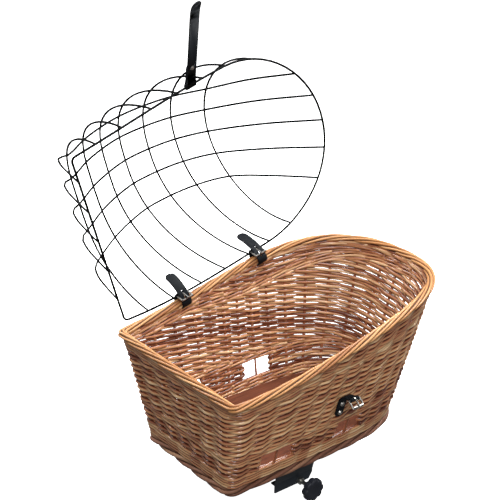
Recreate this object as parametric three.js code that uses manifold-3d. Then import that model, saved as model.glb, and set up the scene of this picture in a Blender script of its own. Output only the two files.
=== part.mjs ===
// A willow basket for the rear rack of a bicycle, with a domed wire lid that is open.
// It has a flat front, a round raised back, two small windows low in each long side, a leather
// closure and a steel clamp that holds it on the rack.
// Millimetres, +Z up, +X to the round back, +Y to the hinge side.
// The origin is the middle of the clamp's seat on the rack.
import * as THREE from "three";
import { mergeVertices } from "three/addons/utils/BufferGeometryUtils.js";
import Module from "manifold-3d";

const wasm = await Module();
wasm.setup();

// Gap between pieces that touch, and play of a pin or screw in its hole, on the radius.
const touchGap = 0.3;
const holePlay = 0.4;

// Rack clamp: a folded steel channel with a loose jaw that a screw pushes.
const seatLength = 90;
const seatWidth = 206;
const sheet = 3;
const flangeDepth = 55;
const flangeStraight = 3;
const flangeSlantDepth = 36;
const flangeSlant = 8;
const hookLip = 12;
const flangeCornerWidth = 8;
const flangeCornerHeight = 13;
const screwX = 13;
const screwDrop = 48.5;
const screwDiameter = 8;
const screwTipDiameter = 5;
const screwFlareDiameter = 8;
const flushInset = 0.1;
const nutAcrossFlats = 13;
const nutThickness = 7;
const knobDiameter = 45;
const knobLobes = 8;
const knobLobeDepth = 2.6;
const knobThickness = 14;
const knobHubDiameter = 20;
const knobHubLength = 6;
const knobBoreDepth = 12;
const knobReach = 18;
const jawSetback = 12;
const jawLength = 60;
const jawDepth = 56;
const jawLip = 12;
const jawDrop = 2.6;
const boltFromEnd = 15;
const boltSpacingY = 60;
const boltDiameter = 6;
const boltHeadDiameter = 12;
const boltNutAcrossFlats = 10;
const boltNutThickness = 5;
const boltTail = 1.5;
const blockLength = 80;
const blockWidth = 196;

// Base: the border of twisted rods stands on the clamp's top face, and the board lies on it.
const baseFront = -177;
const baseBack = 267;
const baseFrontHalf = 123.5;
const baseMidHalf = 125.5;
const baseRoundness = 3.2;
const baseCorner = 20;
const footWidth = 14;
const footHeight = 18;
const boardThickness = 6;
const boardInset = 5;

// Rim: the middle line of the border, which rises in an S from the front to the back.
const rimFront = -204;
const rimBack = 344;
const rimFrontHalf = 169;
const rimMidHalf = 182;
const rimRoundness = 2.5;
const rimCorner = 24;
const rimWidth = 22;
const rimHeight = 20;
const rimFrontTop = 213;
const rimBackTop = 293;
const rimRiseStart = -214;
const rimRiseEnd = 300;

// Woven wall, with a rib of thicker weaving under and over the windows and one round the back.
const wallThickness = 9;
const wallInset = 7;
const windowSill = 44.3;
const windowHead = 76.6;
const ribHeight = 13;
const backRibOverRimFront = 9;
const backRibUnderRimBack = 21;
const backRibStart = 40;
const backRibEnd = 370;
const backWeaveLeast = 1.3;
const windowFrontStart = -118;
const windowFrontEnd = -42.5;
const windowBackStart = 57;
const windowBackEnd = 121.5;
const windowStakeWidth = 5;

// Wire lid, in its closed pose: a frame on the rim, seven hoops and five long wires.
const frameWire = 4;
const domeWire = 2.8;
const lidSetbackFront = 23;
const lidSetbackBack = 1.5;
const lidWiderFront = 1;
const lidWiderMid = 8;
const lidFront = rimFront + lidSetbackFront;
const lidBack = rimBack - lidSetbackBack;
const lidFrontHalf = rimFrontHalf + lidWiderFront;
const lidMidHalf = rimMidHalf + lidWiderMid;
const lidWidest = 160;
const lidRoundness = 2;
const lidCorner = 9;
const lidPlay = 0.5;
const lidOpenDegrees = 93.6;
const hoopFeet = [-131, -74, -8, 51, 111, 165, 223];
const hoopHeights = [176, 213, 229, 235, 226, 207, 170];
const hoopLeans = [-0.1, -0.12, -0.2, -0.25, -0.28, -0.29, -0.33];
const hoopSquarenessFront = 3.2;
const hoopSquarenessBack = 2;
const longWireOuterFront = 123;
const longWireOuterBack = 114;
const longWireInnerShare = 0.5;
const longWireWaistFront = 112;
const longWireWaistBack = 100;
// A long wire's climb from the frame to the first hoop, and its fall from the last hoop to
// the frame, as shares of the way along and of the way up.
const longWireClimb = [[0.04, 0.36], [0.14, 0.68], [0.42, 0.9]];
const longWireFall = [0.5, 0.44];
const hoopSteps = 30;
const longWireSteps = 42;

// Leather: two hinge straps round the rim and the lid's frame, the closure strap and its tab.
const strapWidth = 21;
const leather = 2.6;
const strapPlay = 0.8;
const hingeStrapX = [-55, 128];
const strapTailReach = [39, 48];
const strapTailRise = [22, 12];
const strapTailShares = [0.25, 0.5, 0.75, 1];
const strapBuckleSlope = 12;
const buckleWidth = 27;
const buckleLength = 17;
const buckleBar = 2.4;
const eyeLeather = 2;
const prongWire = 2;
const prongSlotLength = 12;
const closureX = 82;
const closureLength = 196;
const closureFold = 54;
const closureDroop = 27;
const closureRivetReach = 44;
const closureRivetHead = 9;
const closureRivetShank = 4;
const closureRivetHeadHeight = 1.6;
const closurePinch = 18;
const closurePinchShare = 0.6;
const closureCurl = 5;
const closureCurlShare = 0.1;
const closureCurlStart = 0.2;
const tabX = 51;
const tabWidth = 19;
const tabBottom = 103;
const tabBend = 146;
const tabReach = 27;
const tabRise = 9;
const tabBendLift = 0.6;
const tabFlatShares = [0, 0.25, 0.5, 0.7, 0.82];
const tabLiftShare = 0.92;
const tabBendShares = [[0.2, 0.5], [0.55, 0.85]];
const tabScrewHeights = [112, 132];
const tabScrewHead = 10;
const tabScrewHeadTop = 7.2;
const tabScrewHeadHeight = 2.6;
const tabScrewShank = 4;
const tabScrewLength = 8;
const tabScrewSlotWidth = 1.4;
const tabScrewSlotDepth = 1.1;
const tabScrewSlotTurn = 35;
const closureBuckleSlope = 40;
const rollerWall = 0.8;

// Materials, by the finish that the eye sees.
const finish = (color, roughness, metalness = 0) =>
  new THREE.MeshStandardMaterial({ color, roughness, metalness });
const willow = finish(0xa9703f, 0.75);
const willowRim = finish(0xc08a56, 0.65);
const willowFoot = finish(0x5d4433, 0.8);
const plywood = finish(0x6b3f2c, 0.7);
const blackSteel = finish(0x1d2226, 0.45, 0.3);
const blackWire = finish(0x16191b, 0.4, 0.3);
const blackPlastic = finish(0x22232b, 0.6);
const blackLeather = finish(0x1c1d20, 0.6);
const nickel = finish(0xc4c2bc, 0.3, 1);

const basket = new THREE.Group();

function addPiece(name, geometry, material, parent = basket) {
  const mesh = new THREE.Mesh(geometry, material);
  mesh.name = name;
  parent.add(mesh);
  return mesh;
}

// A solid from a closed geometry, and the geometry of a solid.
function toSolid(geometry) {
  const bare = new THREE.BufferGeometry();
  bare.setAttribute("position", geometry.getAttribute("position"));
  if (geometry.index) bare.setIndex(geometry.index);
  const merged = mergeVertices(bare, 1e-3);
  return new wasm.Manifold(
    new wasm.Mesh({
      numProp: 3,
      vertProperties: merged.attributes.position.array,
      triVerts: new Uint32Array(merged.index.array),
    }),
  );
}

function toGeometry(solid) {
  const mesh = solid.getMesh();
  const geometry = new THREE.BufferGeometry();
  geometry.setAttribute("position", new THREE.BufferAttribute(mesh.vertProperties, 3));
  geometry.setIndex(new THREE.BufferAttribute(mesh.triVerts, 1));
  return geometry;
}

const cut = (geometry, ...tools) =>
  toGeometry(tools.reduce((solid, tool) => solid.subtract(toSolid(tool)), toSolid(geometry)));
const join = (geometry, ...others) =>
  toGeometry(others.reduce((solid, other) => solid.add(toSolid(other)), toSolid(geometry)));

// A skin over rows of points. Each row is a closed section; the rows close on themselves
// as a ring, or the first and last row are capped.
function loft(rows, ring) {
  const count = rows[0].length;
  const positions = rows.flat().flatMap((point) => [point.x, point.y, point.z]);
  const index = [];
  const spans = ring ? rows.length : rows.length - 1;
  for (let i = 0; i < spans; i++) {
    const next = (i + 1) % rows.length;
    for (let j = 0; j < count; j++) {
      const a = i * count + j;
      const b = i * count + ((j + 1) % count);
      const c = next * count + j;
      const d = next * count + ((j + 1) % count);
      index.push(a, c, b, b, c, d);
    }
  }
  if (!ring) {
    const last = (rows.length - 1) * count;
    for (let j = 1; j < count - 1; j++) {
      index.push(0, j, j + 1);
      index.push(last, last + j + 1, last + j);
    }
  }
  const geometry = new THREE.BufferGeometry();
  geometry.setAttribute("position", new THREE.Float32BufferAttribute(positions, 3));
  geometry.setIndex(index);
  return facingOut(geometry);
}

// The same geometry with its faces turned outwards, if the volume inside them is negative.
function facingOut(geometry) {
  const positions = geometry.getAttribute("position").array;
  const index = Array.from(geometry.index.array);
  const corner = (i) => new THREE.Vector3().fromArray(positions, 3 * index[i]);
  let volume = 0;
  for (let i = 0; i < index.length; i += 3)
    volume += corner(i).dot(corner(i + 1).cross(corner(i + 2)));
  if (volume < 0) geometry.setIndex(index.reverse());
  return geometry;
}

// A round wire along points, closed into a ring or with flat ends. Its section is carried
// from point to point without twist, and a ring's leftover twist is shared out.
function wire(points, diameter, sides, ring = false) {
  const last = points.length - 1;
  const tangents = points.map((_, i) => {
    const before = points[i > 0 ? i - 1 : ring ? last : 0];
    const after = points[i < last ? i + 1 : ring ? 0 : last];
    return after.clone().sub(before).normalize();
  });
  const turn = new THREE.Quaternion();
  const aside = new THREE.Vector3(0.3, 0.2, 1);
  const normals = [aside.cross(tangents[0]).normalize()];
  for (let i = 1; i <= last; i++) {
    turn.setFromUnitVectors(tangents[i - 1], tangents[i]);
    normals.push(normals[i - 1].clone().applyQuaternion(turn));
  }
  let twist = 0;
  if (ring) {
    turn.setFromUnitVectors(tangents[last], tangents[0]);
    const carried = normals[last].clone().applyQuaternion(turn);
    twist = Math.atan2(carried.clone().cross(normals[0]).dot(tangents[0]), carried.dot(normals[0]));
  }
  const rows = points.map((point, i) =>
    Array.from({ length: sides }, (_, j) => {
      const angle = (2 * Math.PI * j) / sides + (twist * i) / points.length;
      return normals[i]
        .clone()
        .applyAxisAngle(tangents[i], angle)
        .multiplyScalar(diameter / 2)
        .add(point);
    }),
  );
  return loft(rows, ring);
}

// A flat outline of [x, y] pairs given a thickness, and the same with a hole in it.
function slab(outline, thickness, hole = null) {
  const shape = new THREE.Shape(outline.map(([x, y]) => new THREE.Vector2(x, y)));
  if (hole) shape.holes.push(new THREE.Path(hole.map(([x, y]) => new THREE.Vector2(x, y))));
  return new THREE.ExtrudeGeometry(shape, { depth: thickness, bevelEnabled: false });
}

// A section of [y, z] pairs carried along X, with its middle at centreX.
function acrossX(section, width, centreX, hole = null) {
  return slab(section, width, hole)
    .applyMatrix4(
      new THREE.Matrix4().makeBasis(
        new THREE.Vector3(0, 1, 0),
        new THREE.Vector3(0, 0, 1),
        new THREE.Vector3(1, 0, 0),
      ),
    )
    .translate(centreX - width / 2, 0, 0);
}

function roundBar(diameter, length, segments = 20) {
  return new THREE.CylinderGeometry(diameter / 2, diameter / 2, length, segments);
}

const radians = THREE.MathUtils.degToRad;
const mix = THREE.MathUtils.lerp;
const smooth = (share) => THREE.MathUtils.smoothstep(share, 0, 1);

// Half the width of a D outline at x: it widens from the straight front to its widest place
// and closes in the quarter of a squared ellipse.
function halfWidth(plan, x) {
  if (x <= plan.widest) {
    const left = 1 - (x - plan.front) / (plan.widest - plan.front);
    return mix(plan.midHalf, plan.frontHalf, left * left);
  }
  const share = Math.min(1, (x - plan.widest) / (plan.back - plan.widest));
  return plan.midHalf * Math.pow(1 - Math.pow(share, plan.roundness), 1 / plan.roundness);
}

// The D outline as a loop of points, counter-clockwise from the back's middle. Two loops
// with the same counts match point for point, so a wall can be drawn between them.
const loopCounts = { back: 16, side: 9, corner: 4, front: 4 };

function planLoop(plan) {
  const half = [];
  const power = 2 / plan.roundness;
  for (let i = 0; i < loopCounts.back; i++) {
    const angle = (Math.PI / 2) * (i / loopCounts.back);
    half.push([
      plan.widest + (plan.back - plan.widest) * Math.pow(Math.cos(angle), power),
      plan.midHalf * Math.pow(Math.sin(angle), power),
    ]);
  }
  const cornerX = plan.front + plan.corner;
  const cornerHalf = halfWidth(plan, cornerX);
  for (let i = 0; i < loopCounts.side; i++) {
    const x = mix(plan.widest, cornerX, i / loopCounts.side);
    half.push([x, halfWidth(plan, x)]);
  }
  for (let i = 0; i < loopCounts.corner; i++) {
    const angle = (Math.PI / 2) * (i / loopCounts.corner);
    half.push([
      cornerX - plan.corner * Math.sin(angle),
      cornerHalf - plan.corner * (1 - Math.cos(angle)),
    ]);
  }
  for (let i = 0; i <= loopCounts.front; i++)
    half.push([plan.front, (cornerHalf - plan.corner) * (1 - i / loopCounts.front)]);
  const mirrored = half.slice(1, -1).reverse().map(([x, y]) => [x, -y]);
  return [...half, ...mirrored];
}

// Outward directions of a loop at its points, and the loop moved along them.
function outwards(loop) {
  return loop.map((_, i) => {
    const before = loop[(i + loop.length - 1) % loop.length];
    const after = loop[(i + 1) % loop.length];
    const length = Math.hypot(after[0] - before[0], after[1] - before[1]);
    return [(after[1] - before[1]) / length, (before[0] - after[0]) / length];
  });
}

function offsetLoop(loop, distance) {
  const normals = outwards(loop);
  return loop.map(([x, y], i) => [x + distance * normals[i][0], y + distance * normals[i][1]]);
}

const basePlan = {
  front: baseFront,
  back: baseBack,
  widest: (baseFront + baseBack) / 2,
  frontHalf: baseFrontHalf,
  midHalf: baseMidHalf,
  roundness: baseRoundness,
  corner: baseCorner,
};
const rimPlan = {
  front: rimFront,
  back: rimBack,
  widest: (rimFront + rimBack) / 2,
  frontHalf: rimFrontHalf,
  midHalf: rimMidHalf,
  roundness: rimRoundness,
  corner: rimCorner,
};
const lidPlan = {
  front: lidFront,
  back: lidBack,
  widest: lidWidest,
  frontHalf: lidFrontHalf,
  midHalf: lidMidHalf,
  roundness: lidRoundness,
  corner: lidCorner,
};

const footBottom = sheet;
const baseLoop = planLoop(basePlan);
const rimLoop = planLoop(rimPlan);
const wallFootLoop = offsetLoop(baseLoop, -wallInset);
const rimNormals = outwards(rimLoop);

// Height of the rim's middle line over the seat.
const rimLevel = (x) =>
  footBottom +
  mix(rimFrontTop, rimBackTop, smooth((x - rimRiseStart) / (rimRiseEnd - rimRiseStart)));

// The closed lid's frame keeps a little over the rim all round. It turns about the line
// through its wire at the two hinge straps.
const lidSeat = rimHeight / 2 + frameWire / 2 + lidPlay;
const lidLevel = (x) => rimLevel(x) + lidSeat;
const hingeEnds = hingeStrapX.map(
  (x) => new THREE.Vector3(x, halfWidth(lidPlan, x), lidLevel(x)),
);
const hingeAxis = hingeEnds[1].clone().sub(hingeEnds[0]).normalize();

// The wall's middle surface at place u round the loop and height z. It runs straight from
// the foot border to the rim.
function wallPoint(u, z) {
  const count = rimLoop.length;
  const i = Math.floor(u) % count;
  const k = (i + 1) % count;
  const share = u - Math.floor(u);
  const at = (loop, axis) => mix(loop[i][axis], loop[k][axis], share);
  const rimX = at(rimLoop, 0);
  const rise = (z - footBottom) / (rimLevel(rimX) - footBottom);
  return {
    x: mix(at(wallFootLoop, 0), rimX, rise),
    y: mix(at(wallFootLoop, 1), at(rimLoop, 1), rise),
    nx: at(rimNormals, 0),
    ny: at(rimNormals, 1),
    rimX,
  };
}

// The place u on one long side at which the wall passes x at height z.
function placeAt(x, z, side) {
  const half = rimLoop.length / 2;
  let low = side > 0 ? 1 : half;
  let high = side > 0 ? half : 2 * half - 1;
  for (let i = 0; i < 40; i++) {
    const middle = (low + high) / 2;
    if (wallPoint(middle, z).x > x === side > 0) low = middle;
    else high = middle;
  }
  return (low + high) / 2;
}

// A stretch of woven wall between two heights, each a function of the rim's x at that place.
function weave(bottomAt, topAt, span = null) {
  const places = [];
  if (span) {
    places.push(span[0]);
    for (let u = Math.floor(span[0]) + 1; u < span[1]; u++) places.push(u);
    places.push(span[1]);
  } else {
    for (let u = 0; u < rimLoop.length; u++) places.push(u);
  }
  const rows = places.map((u) => {
    const { rimX } = wallPoint(u, footBottom);
    const edge = (z, side) => {
      const { x, y, nx, ny } = wallPoint(u, z);
      const out = (side * wallThickness) / 2;
      return new THREE.Vector3(x + out * nx, y + out * ny, z);
    };
    const bottom = bottomAt(rimX);
    const top = topAt(rimX);
    return [edge(bottom, -1), edge(bottom, 1), edge(top, 1), edge(top, -1)];
  });
  return loft(rows, !span);
}

// Heights of the seams in the wall, from the foot up.
const footTop = footBottom + footHeight;
const boardBottom = footTop + 2 * touchGap;
const boardTop = boardBottom + boardThickness;
const sill = footBottom + windowSill;
const head = footBottom + windowHead;
const underRim = (x) => rimLevel(x) - rimHeight / 2 - touchGap;
const backRibLevel = (x) =>
  footBottom +
  mix(
    rimFrontTop + backRibOverRimFront,
    rimBackTop - backRibUnderRimBack,
    smooth((x - backRibStart) / (backRibEnd - backRibStart)),
  );
const backRibTop = (x) => Math.min(backRibLevel(x), underRim(x));
const backRibBottom = (x) => backRibTop(x) - ribHeight;

// Base board, the foot border under its edge and the block between it and the clamp.
addPiece(
  "base_board",
  cut(
    slab(offsetLoop(baseLoop, -boardInset), boardThickness).translate(0, 0, boardBottom),
    ...boltPlaces().map(([x, y]) => boltHole(x, y)),
  ),
  plywood,
);
addPiece(
  "clamp_block",
  cut(
    new THREE.BoxGeometry(blockLength, blockWidth, footHeight).translate(
      0,
      0,
      footBottom + touchGap + footHeight / 2,
    ),
    ...boltPlaces().map(([x, y]) => boltHole(x, y)),
  ),
  plywood,
);
addPiece(
  "foot_border",
  slab(baseLoop, footHeight, offsetLoop(baseLoop, -footWidth)).translate(0, 0, footBottom + touchGap),
  willowFoot,
);

// The wall's rings of weaving.
const level = (z) => () => z;
const lowerRib = weave(level(boardTop + touchGap), level(sill - touchGap));
addPiece("lower_rib", lowerRib, willow);
addPiece("window_rib", weave(level(head + touchGap), level(head + ribHeight)), willow);
addPiece(
  "main_weave",
  cut(
    weave(level(head + ribHeight + touchGap), (x) => backRibBottom(x) - touchGap),
    ...tabScrewHeights.map((z) => tabScrewHole(z)),
  ),
  willow,
);
const half = rimLoop.length / 2;
const backWeaveFront = backWeaveStart();
const backWeaveEnd = placeAt(backWeaveFront, backRibLevel(backWeaveFront), 1);
const backWeaveSpan = [2 * half - backWeaveEnd, 2 * half + backWeaveEnd];
const notches = hingeStrapX.map(hingeStrapNotch);
addPiece("back_rib", cut(weave(backRibBottom, backRibTop), notches[0]), willow);
addPiece(
  "back_weave",
  cut(weave((x) => backRibTop(x) + touchGap, underRim, backWeaveSpan), ...notches),
  willow,
);

// The x at which the rim has risen enough over the back rib for weaving between them.
function backWeaveStart() {
  let low = rimFront;
  let high = rimPlan.widest;
  for (let i = 0; i < 40; i++) {
    const x = (low + high) / 2;
    if (underRim(x) - backRibLevel(x) - touchGap < backWeaveLeast) low = x;
    else high = x;
  }
  return high;
}

// The weaving between the windows: the front, the back and a panel in each long side.
const middle = (sill + head) / 2;
const jamb = (x, side) => placeAt(x, middle, side);
const windowWeave = (from, to) => weave(level(sill), level(head), [from, to]);
addPiece(
  "window_weave_front",
  windowWeave(jamb(windowFrontStart, 1), jamb(windowFrontStart, -1)),
  willow,
);
addPiece(
  "window_weave_back",
  windowWeave(jamb(windowBackEnd, -1), 2 * half + jamb(windowBackEnd, 1)),
  willow,
);
addPiece("window_weave_far", windowWeave(jamb(windowBackStart, 1), jamb(windowFrontEnd, 1)), willow);
addPiece("window_weave_near", windowWeave(jamb(windowFrontEnd, -1), jamb(windowBackStart, -1)), willow);
for (const [sideName, side] of [["near", -1], ["far", 1]])
  for (const [endName, start, end] of [
    ["front", windowFrontStart, windowFrontEnd],
    ["back", windowBackStart, windowBackEnd],
  ])
    addPiece(`window_stake_${sideName}_${endName}`, windowStake((start + end) / 2, side), willow);

function windowStake(x, side) {
  const u = placeAt(x, middle, side);
  const rows = [sill, head].map((z) => {
    const foot = wallPoint(u, z);
    return Array.from({ length: 8 }, (_, i) => {
      const angle = (2 * Math.PI * i) / 8;
      const along = (windowStakeWidth / 2) * Math.cos(angle);
      const out = (windowStakeWidth / 2) * Math.sin(angle);
      return new THREE.Vector3(foot.x + along, foot.y + out, z);
    });
  });
  return loft(rows, false);
}

// Rim border: an oval roll of rods that follows the wall's top.
addPiece(
  "rim_border",
  loft(
    rimLoop.map(([x, y], i) =>
      Array.from({ length: 12 }, (_, j) => {
        const angle = (2 * Math.PI * j) / 12;
        const out = (rimWidth / 2) * Math.cos(angle);
        return new THREE.Vector3(
          x + out * rimNormals[i][0],
          y + out * rimNormals[i][1],
          rimLevel(x) + (rimHeight / 2) * Math.sin(angle),
        );
      }),
    ),
    true,
  ),
  willowRim,
);

// Rack clamp. The channel's section is drawn in Y and Z, with the near flange at -Y. Its flanges
// start straight down from the seat, so that nothing hangs over the seat's edge, and then slant.
const seatHalf = seatWidth / 2;
const flangeFace = seatHalf - flangeSlant;
const jawFace = -flangeFace + sheet + jawSetback;
const channelSection = [
  [-seatHalf, sheet],
  [-seatHalf, -flangeStraight],
  [-flangeFace, -flangeSlantDepth],
  [-flangeFace, -flangeDepth],
  [-flangeFace + sheet, -flangeDepth],
  [-flangeFace + sheet, -flangeSlantDepth],
  [-seatHalf + sheet, -flangeStraight],
  [-seatHalf + sheet, 0],
  [seatHalf - sheet, 0],
  [seatHalf - sheet, -flangeStraight],
  [flangeFace - sheet, -flangeSlantDepth],
  [flangeFace - sheet, -flangeDepth + sheet],
  [flangeFace - sheet - hookLip, -flangeDepth + sheet],
  [flangeFace - sheet - hookLip, -flangeDepth],
  [flangeFace, -flangeDepth],
  [flangeFace, -flangeSlantDepth],
  [seatHalf, -flangeStraight],
  [seatHalf, sheet],
];
const flangeCorner = slab(
  [
    [seatLength / 2 + 1, -flangeDepth - 1],
    [seatLength / 2 + 1, -flangeDepth + flangeCornerHeight],
    [seatLength / 2, -flangeDepth + flangeCornerHeight],
    [seatLength / 2 - flangeCornerWidth, -flangeDepth],
    [seatLength / 2 - flangeCornerWidth, -flangeDepth - 1],
  ],
  2 * sheet,
)
  .rotateX(Math.PI / 2)
  .translate(0, -flangeFace + 1.5 * sheet, 0);
addPiece(
  "rack_bracket",
  cut(
    acrossX(channelSection, seatLength, 0),
    roundBar(screwDiameter + 2 * holePlay, 4 * sheet, 16).translate(screwX, -flangeFace, -screwDrop),
    flangeCorner,
    ...boltPlaces().flatMap(([x, y]) => [boltHole(x, y), boltSink(x, y)]),
  ),
  blackSteel,
);
addPiece(
  "weld_nut",
  hexNut(nutAcrossFlats, nutThickness, screwDiameter + 2 * holePlay)
    .rotateX(Math.PI / 2)
    .translate(screwX, -flangeFace - touchGap, -screwDrop),
  nickel,
);

// The clamp's screw turns in the nut and in the jaw, where its tip is riveted flush.
const screwFlare = jawFace + sheet - flushInset;
const jawSection = [
  [jawFace, -jawDrop],
  [jawFace, -jawDepth],
  [jawFace + sheet + jawLip, -jawDepth],
  [jawFace + sheet + jawLip, -jawDepth + sheet],
  [jawFace + sheet, -jawDepth + sheet],
  [jawFace + sheet, -jawDrop],
];
addPiece(
  "clamp_jaw",
  cut(
    acrossX(jawSection, jawLength, 0),
    roundBar(screwTipDiameter + 2 * holePlay, 4 * sheet, 16).translate(
      screwX,
      jawFace + sheet / 2,
      -screwDrop,
    ),
    sink(screwFlareDiameter, screwTipDiameter, screwFlare, 1).translate(screwX, 0, -screwDrop),
  ),
  blackSteel,
);
const knobBack = -flangeFace - nutThickness - knobReach;
const screwStart = knobBack - knobBoreDepth + touchGap;
addPiece(
  "clamp_screw",
  turned([
    [screwDiameter / 2, screwStart],
    [screwDiameter / 2, jawFace - touchGap],
    [screwTipDiameter / 2, jawFace - touchGap],
    ...flare(screwFlareDiameter, screwTipDiameter, screwFlare, 1),
  ]).translate(screwX, 0, -screwDrop),
  nickel,
);
const knobOutline = Array.from({ length: 64 }, (_, i) => {
  const angle = (2 * Math.PI * i) / 64;
  const radius = knobDiameter / 2 - (knobLobeDepth / 2) * (1 + Math.cos(knobLobes * angle));
  return [radius * Math.cos(angle), radius * Math.sin(angle)];
});
addPiece(
  "star_knob",
  cut(
    join(
      slab(knobOutline, knobThickness)
        .rotateX(Math.PI / 2)
        .translate(0, knobBack - knobHubLength, 0),
      roundBar(knobHubDiameter, 2 * knobHubLength).translate(0, knobBack - knobHubLength, 0),
    ),
    roundBar(screwDiameter + 2 * touchGap, 2 * knobBoreDepth, 16).translate(0, knobBack, 0),
  ).translate(screwX, 0, -screwDrop),
  blackPlastic,
);

// A solid of revolution about Y from [radius, y] pairs, closed at both ends.
function turned(profile, segments = 20) {
  const ends = [[0, profile[0][1]], ...profile, [0, profile[profile.length - 1][1]]];
  return facingOut(
    new THREE.LatheGeometry(
      ends.map(([radius, y]) => new THREE.Vector2(radius, y)),
      segments,
    ),
  );
}

// The flank of a countersunk end along Y, of 45 degrees. Its wide face is at y = face and
// looks towards +Y or -Y, as side is 1 or -1.
function flare(wide, narrow, face, side) {
  const flank = [
    [narrow / 2, face - (side * (wide - narrow)) / 2],
    [wide / 2, face],
  ];
  return side > 0 ? flank : flank.reverse();
}

// What is cut away for such an end, a gap off its flank and open past its wide face.
function sink(wide, narrow, face, side) {
  const off = 2 * touchGap * Math.SQRT2;
  const past = 2;
  return turned(flare(wide + off + 2 * past, narrow + off, face + side * past, side), 24);
}

// A hexagonal nut with its axis along Z, standing on the plane z = 0.
function hexNut(acrossFlats, thickness, bore) {
  const ring = (radius, count) =>
    Array.from({ length: count }, (_, i) => {
      const angle = (2 * Math.PI * i) / count;
      return [radius * Math.cos(angle), radius * Math.sin(angle)];
    });
  return slab(ring(acrossFlats / Math.sqrt(3), 6), thickness, ring(bore / 2, 16));
}

// Four bolts hold the clamp under the base board. Their heads are flush with the seat, and
// the nuts are on the board.
function boltPlaces() {
  return [-1, 1].flatMap((sideX) =>
    [-1, 1].map((sideY) => [sideX * (seatLength / 2 - boltFromEnd), (sideY * boltSpacingY) / 2]),
  );
}

function boltHole(x, y) {
  return roundBar(boltDiameter + 2 * holePlay, 3 * boardTop, 12)
    .rotateX(Math.PI / 2)
    .translate(x, y, 0);
}

function boltSink(x, y) {
  return sink(boltHeadDiameter, boltDiameter, flushInset, -1).rotateX(Math.PI / 2).translate(x, y, 0);
}

boltPlaces().forEach(([x, y], i) => {
  const nutFoot = boardTop + touchGap;
  addPiece(
    `bracket_bolt_${i + 1}`,
    turned(
      [
        ...flare(boltHeadDiameter, boltDiameter, flushInset, -1),
        [boltDiameter / 2, nutFoot + boltNutThickness + boltTail],
      ],
      16,
    )
      .rotateX(Math.PI / 2)
      .translate(x, y, 0),
    blackSteel,
  );
  addPiece(
    `bracket_nut_${i + 1}`,
    hexNut(boltNutAcrossFlats, boltNutThickness, boltDiameter + 2 * holePlay).translate(x, y, nutFoot),
    nickel,
  );
});

// Lid, drawn closed and then turned open about the hinge axis.
const lid = new THREE.Group();
lid.position.copy(hingeEnds[0]);
lid.quaternion.setFromAxisAngle(hingeAxis, -radians(lidOpenDegrees));
basket.add(lid);
const onLid = new THREE.Group();
onLid.position.copy(hingeEnds[0]).negate();
lid.add(onLid);

addPiece(
  "lid_frame",
  wire(
    planLoop(lidPlan).map(([x, y]) => new THREE.Vector3(x, y, lidLevel(x))),
    frameWire,
    8,
    true,
  ),
  blackWire,
  onLid,
);

// A hoop's middle line: a squared arch over the lid that leans to the front. The angle goes
// from 0 at the hinge side's foot to pi at the free side's.
const hoopCount = hoopFeet.length;
const hoopSquareness = (i) =>
  mix(hoopSquarenessFront, hoopSquarenessBack, i / (hoopCount - 1));

function hoopPoint(i, angle) {
  const across = Math.pow(Math.abs(Math.cos(angle)), 2 / hoopSquareness(i));
  const height = hoopHeights[i] * Math.sin(angle);
  return new THREE.Vector3(
    hoopFeet[i] + hoopLeans[i] * height,
    halfWidth(lidPlan, hoopFeet[i]) * Math.sign(Math.cos(angle)) * across,
    lidLevel(hoopFeet[i]) + height,
  );
}

// The angle at which hoop i is y from the lid's middle plane.
function hoopAngle(i, y) {
  const share = Math.abs(y) / halfWidth(lidPlan, hoopFeet[i]);
  const angle = Math.acos(Math.pow(share, hoopSquareness(i) / 2));
  return y < 0 ? Math.PI - angle : angle;
}

// Where a dome wire ends: just off the frame wire's middle line, on its way to a point.
const wireSeat = frameWire / 2 + 2 * touchGap;
const seatTowards = (foot, point) => foot.clone().add(point.clone().sub(foot).setLength(wireSeat));

for (let i = 0; i < hoopCount; i++) {
  const start = Math.asin(wireSeat / hoopHeights[i]);
  const points = [];
  for (let j = 0; j <= hoopSteps; j++)
    points.push(hoopPoint(i, mix(start, Math.PI - start, j / hoopSteps)));
  addPiece(`lid_hoop_${i + 1}`, wire(points, domeWire, 6), blackWire, onLid);
}

// The long wires run inside the hoops, from the frame's straight front to its round back.
const wireLayer = domeWire + 2 * touchGap;

function framePointAtBack(y) {
  const share = Math.pow(1 - Math.pow(Math.abs(y) / lidMidHalf, lidRoundness), 1 / lidRoundness);
  const x = lidWidest + (lidBack - lidWidest) * share;
  return new THREE.Vector3(x, y, lidLevel(x));
}

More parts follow.
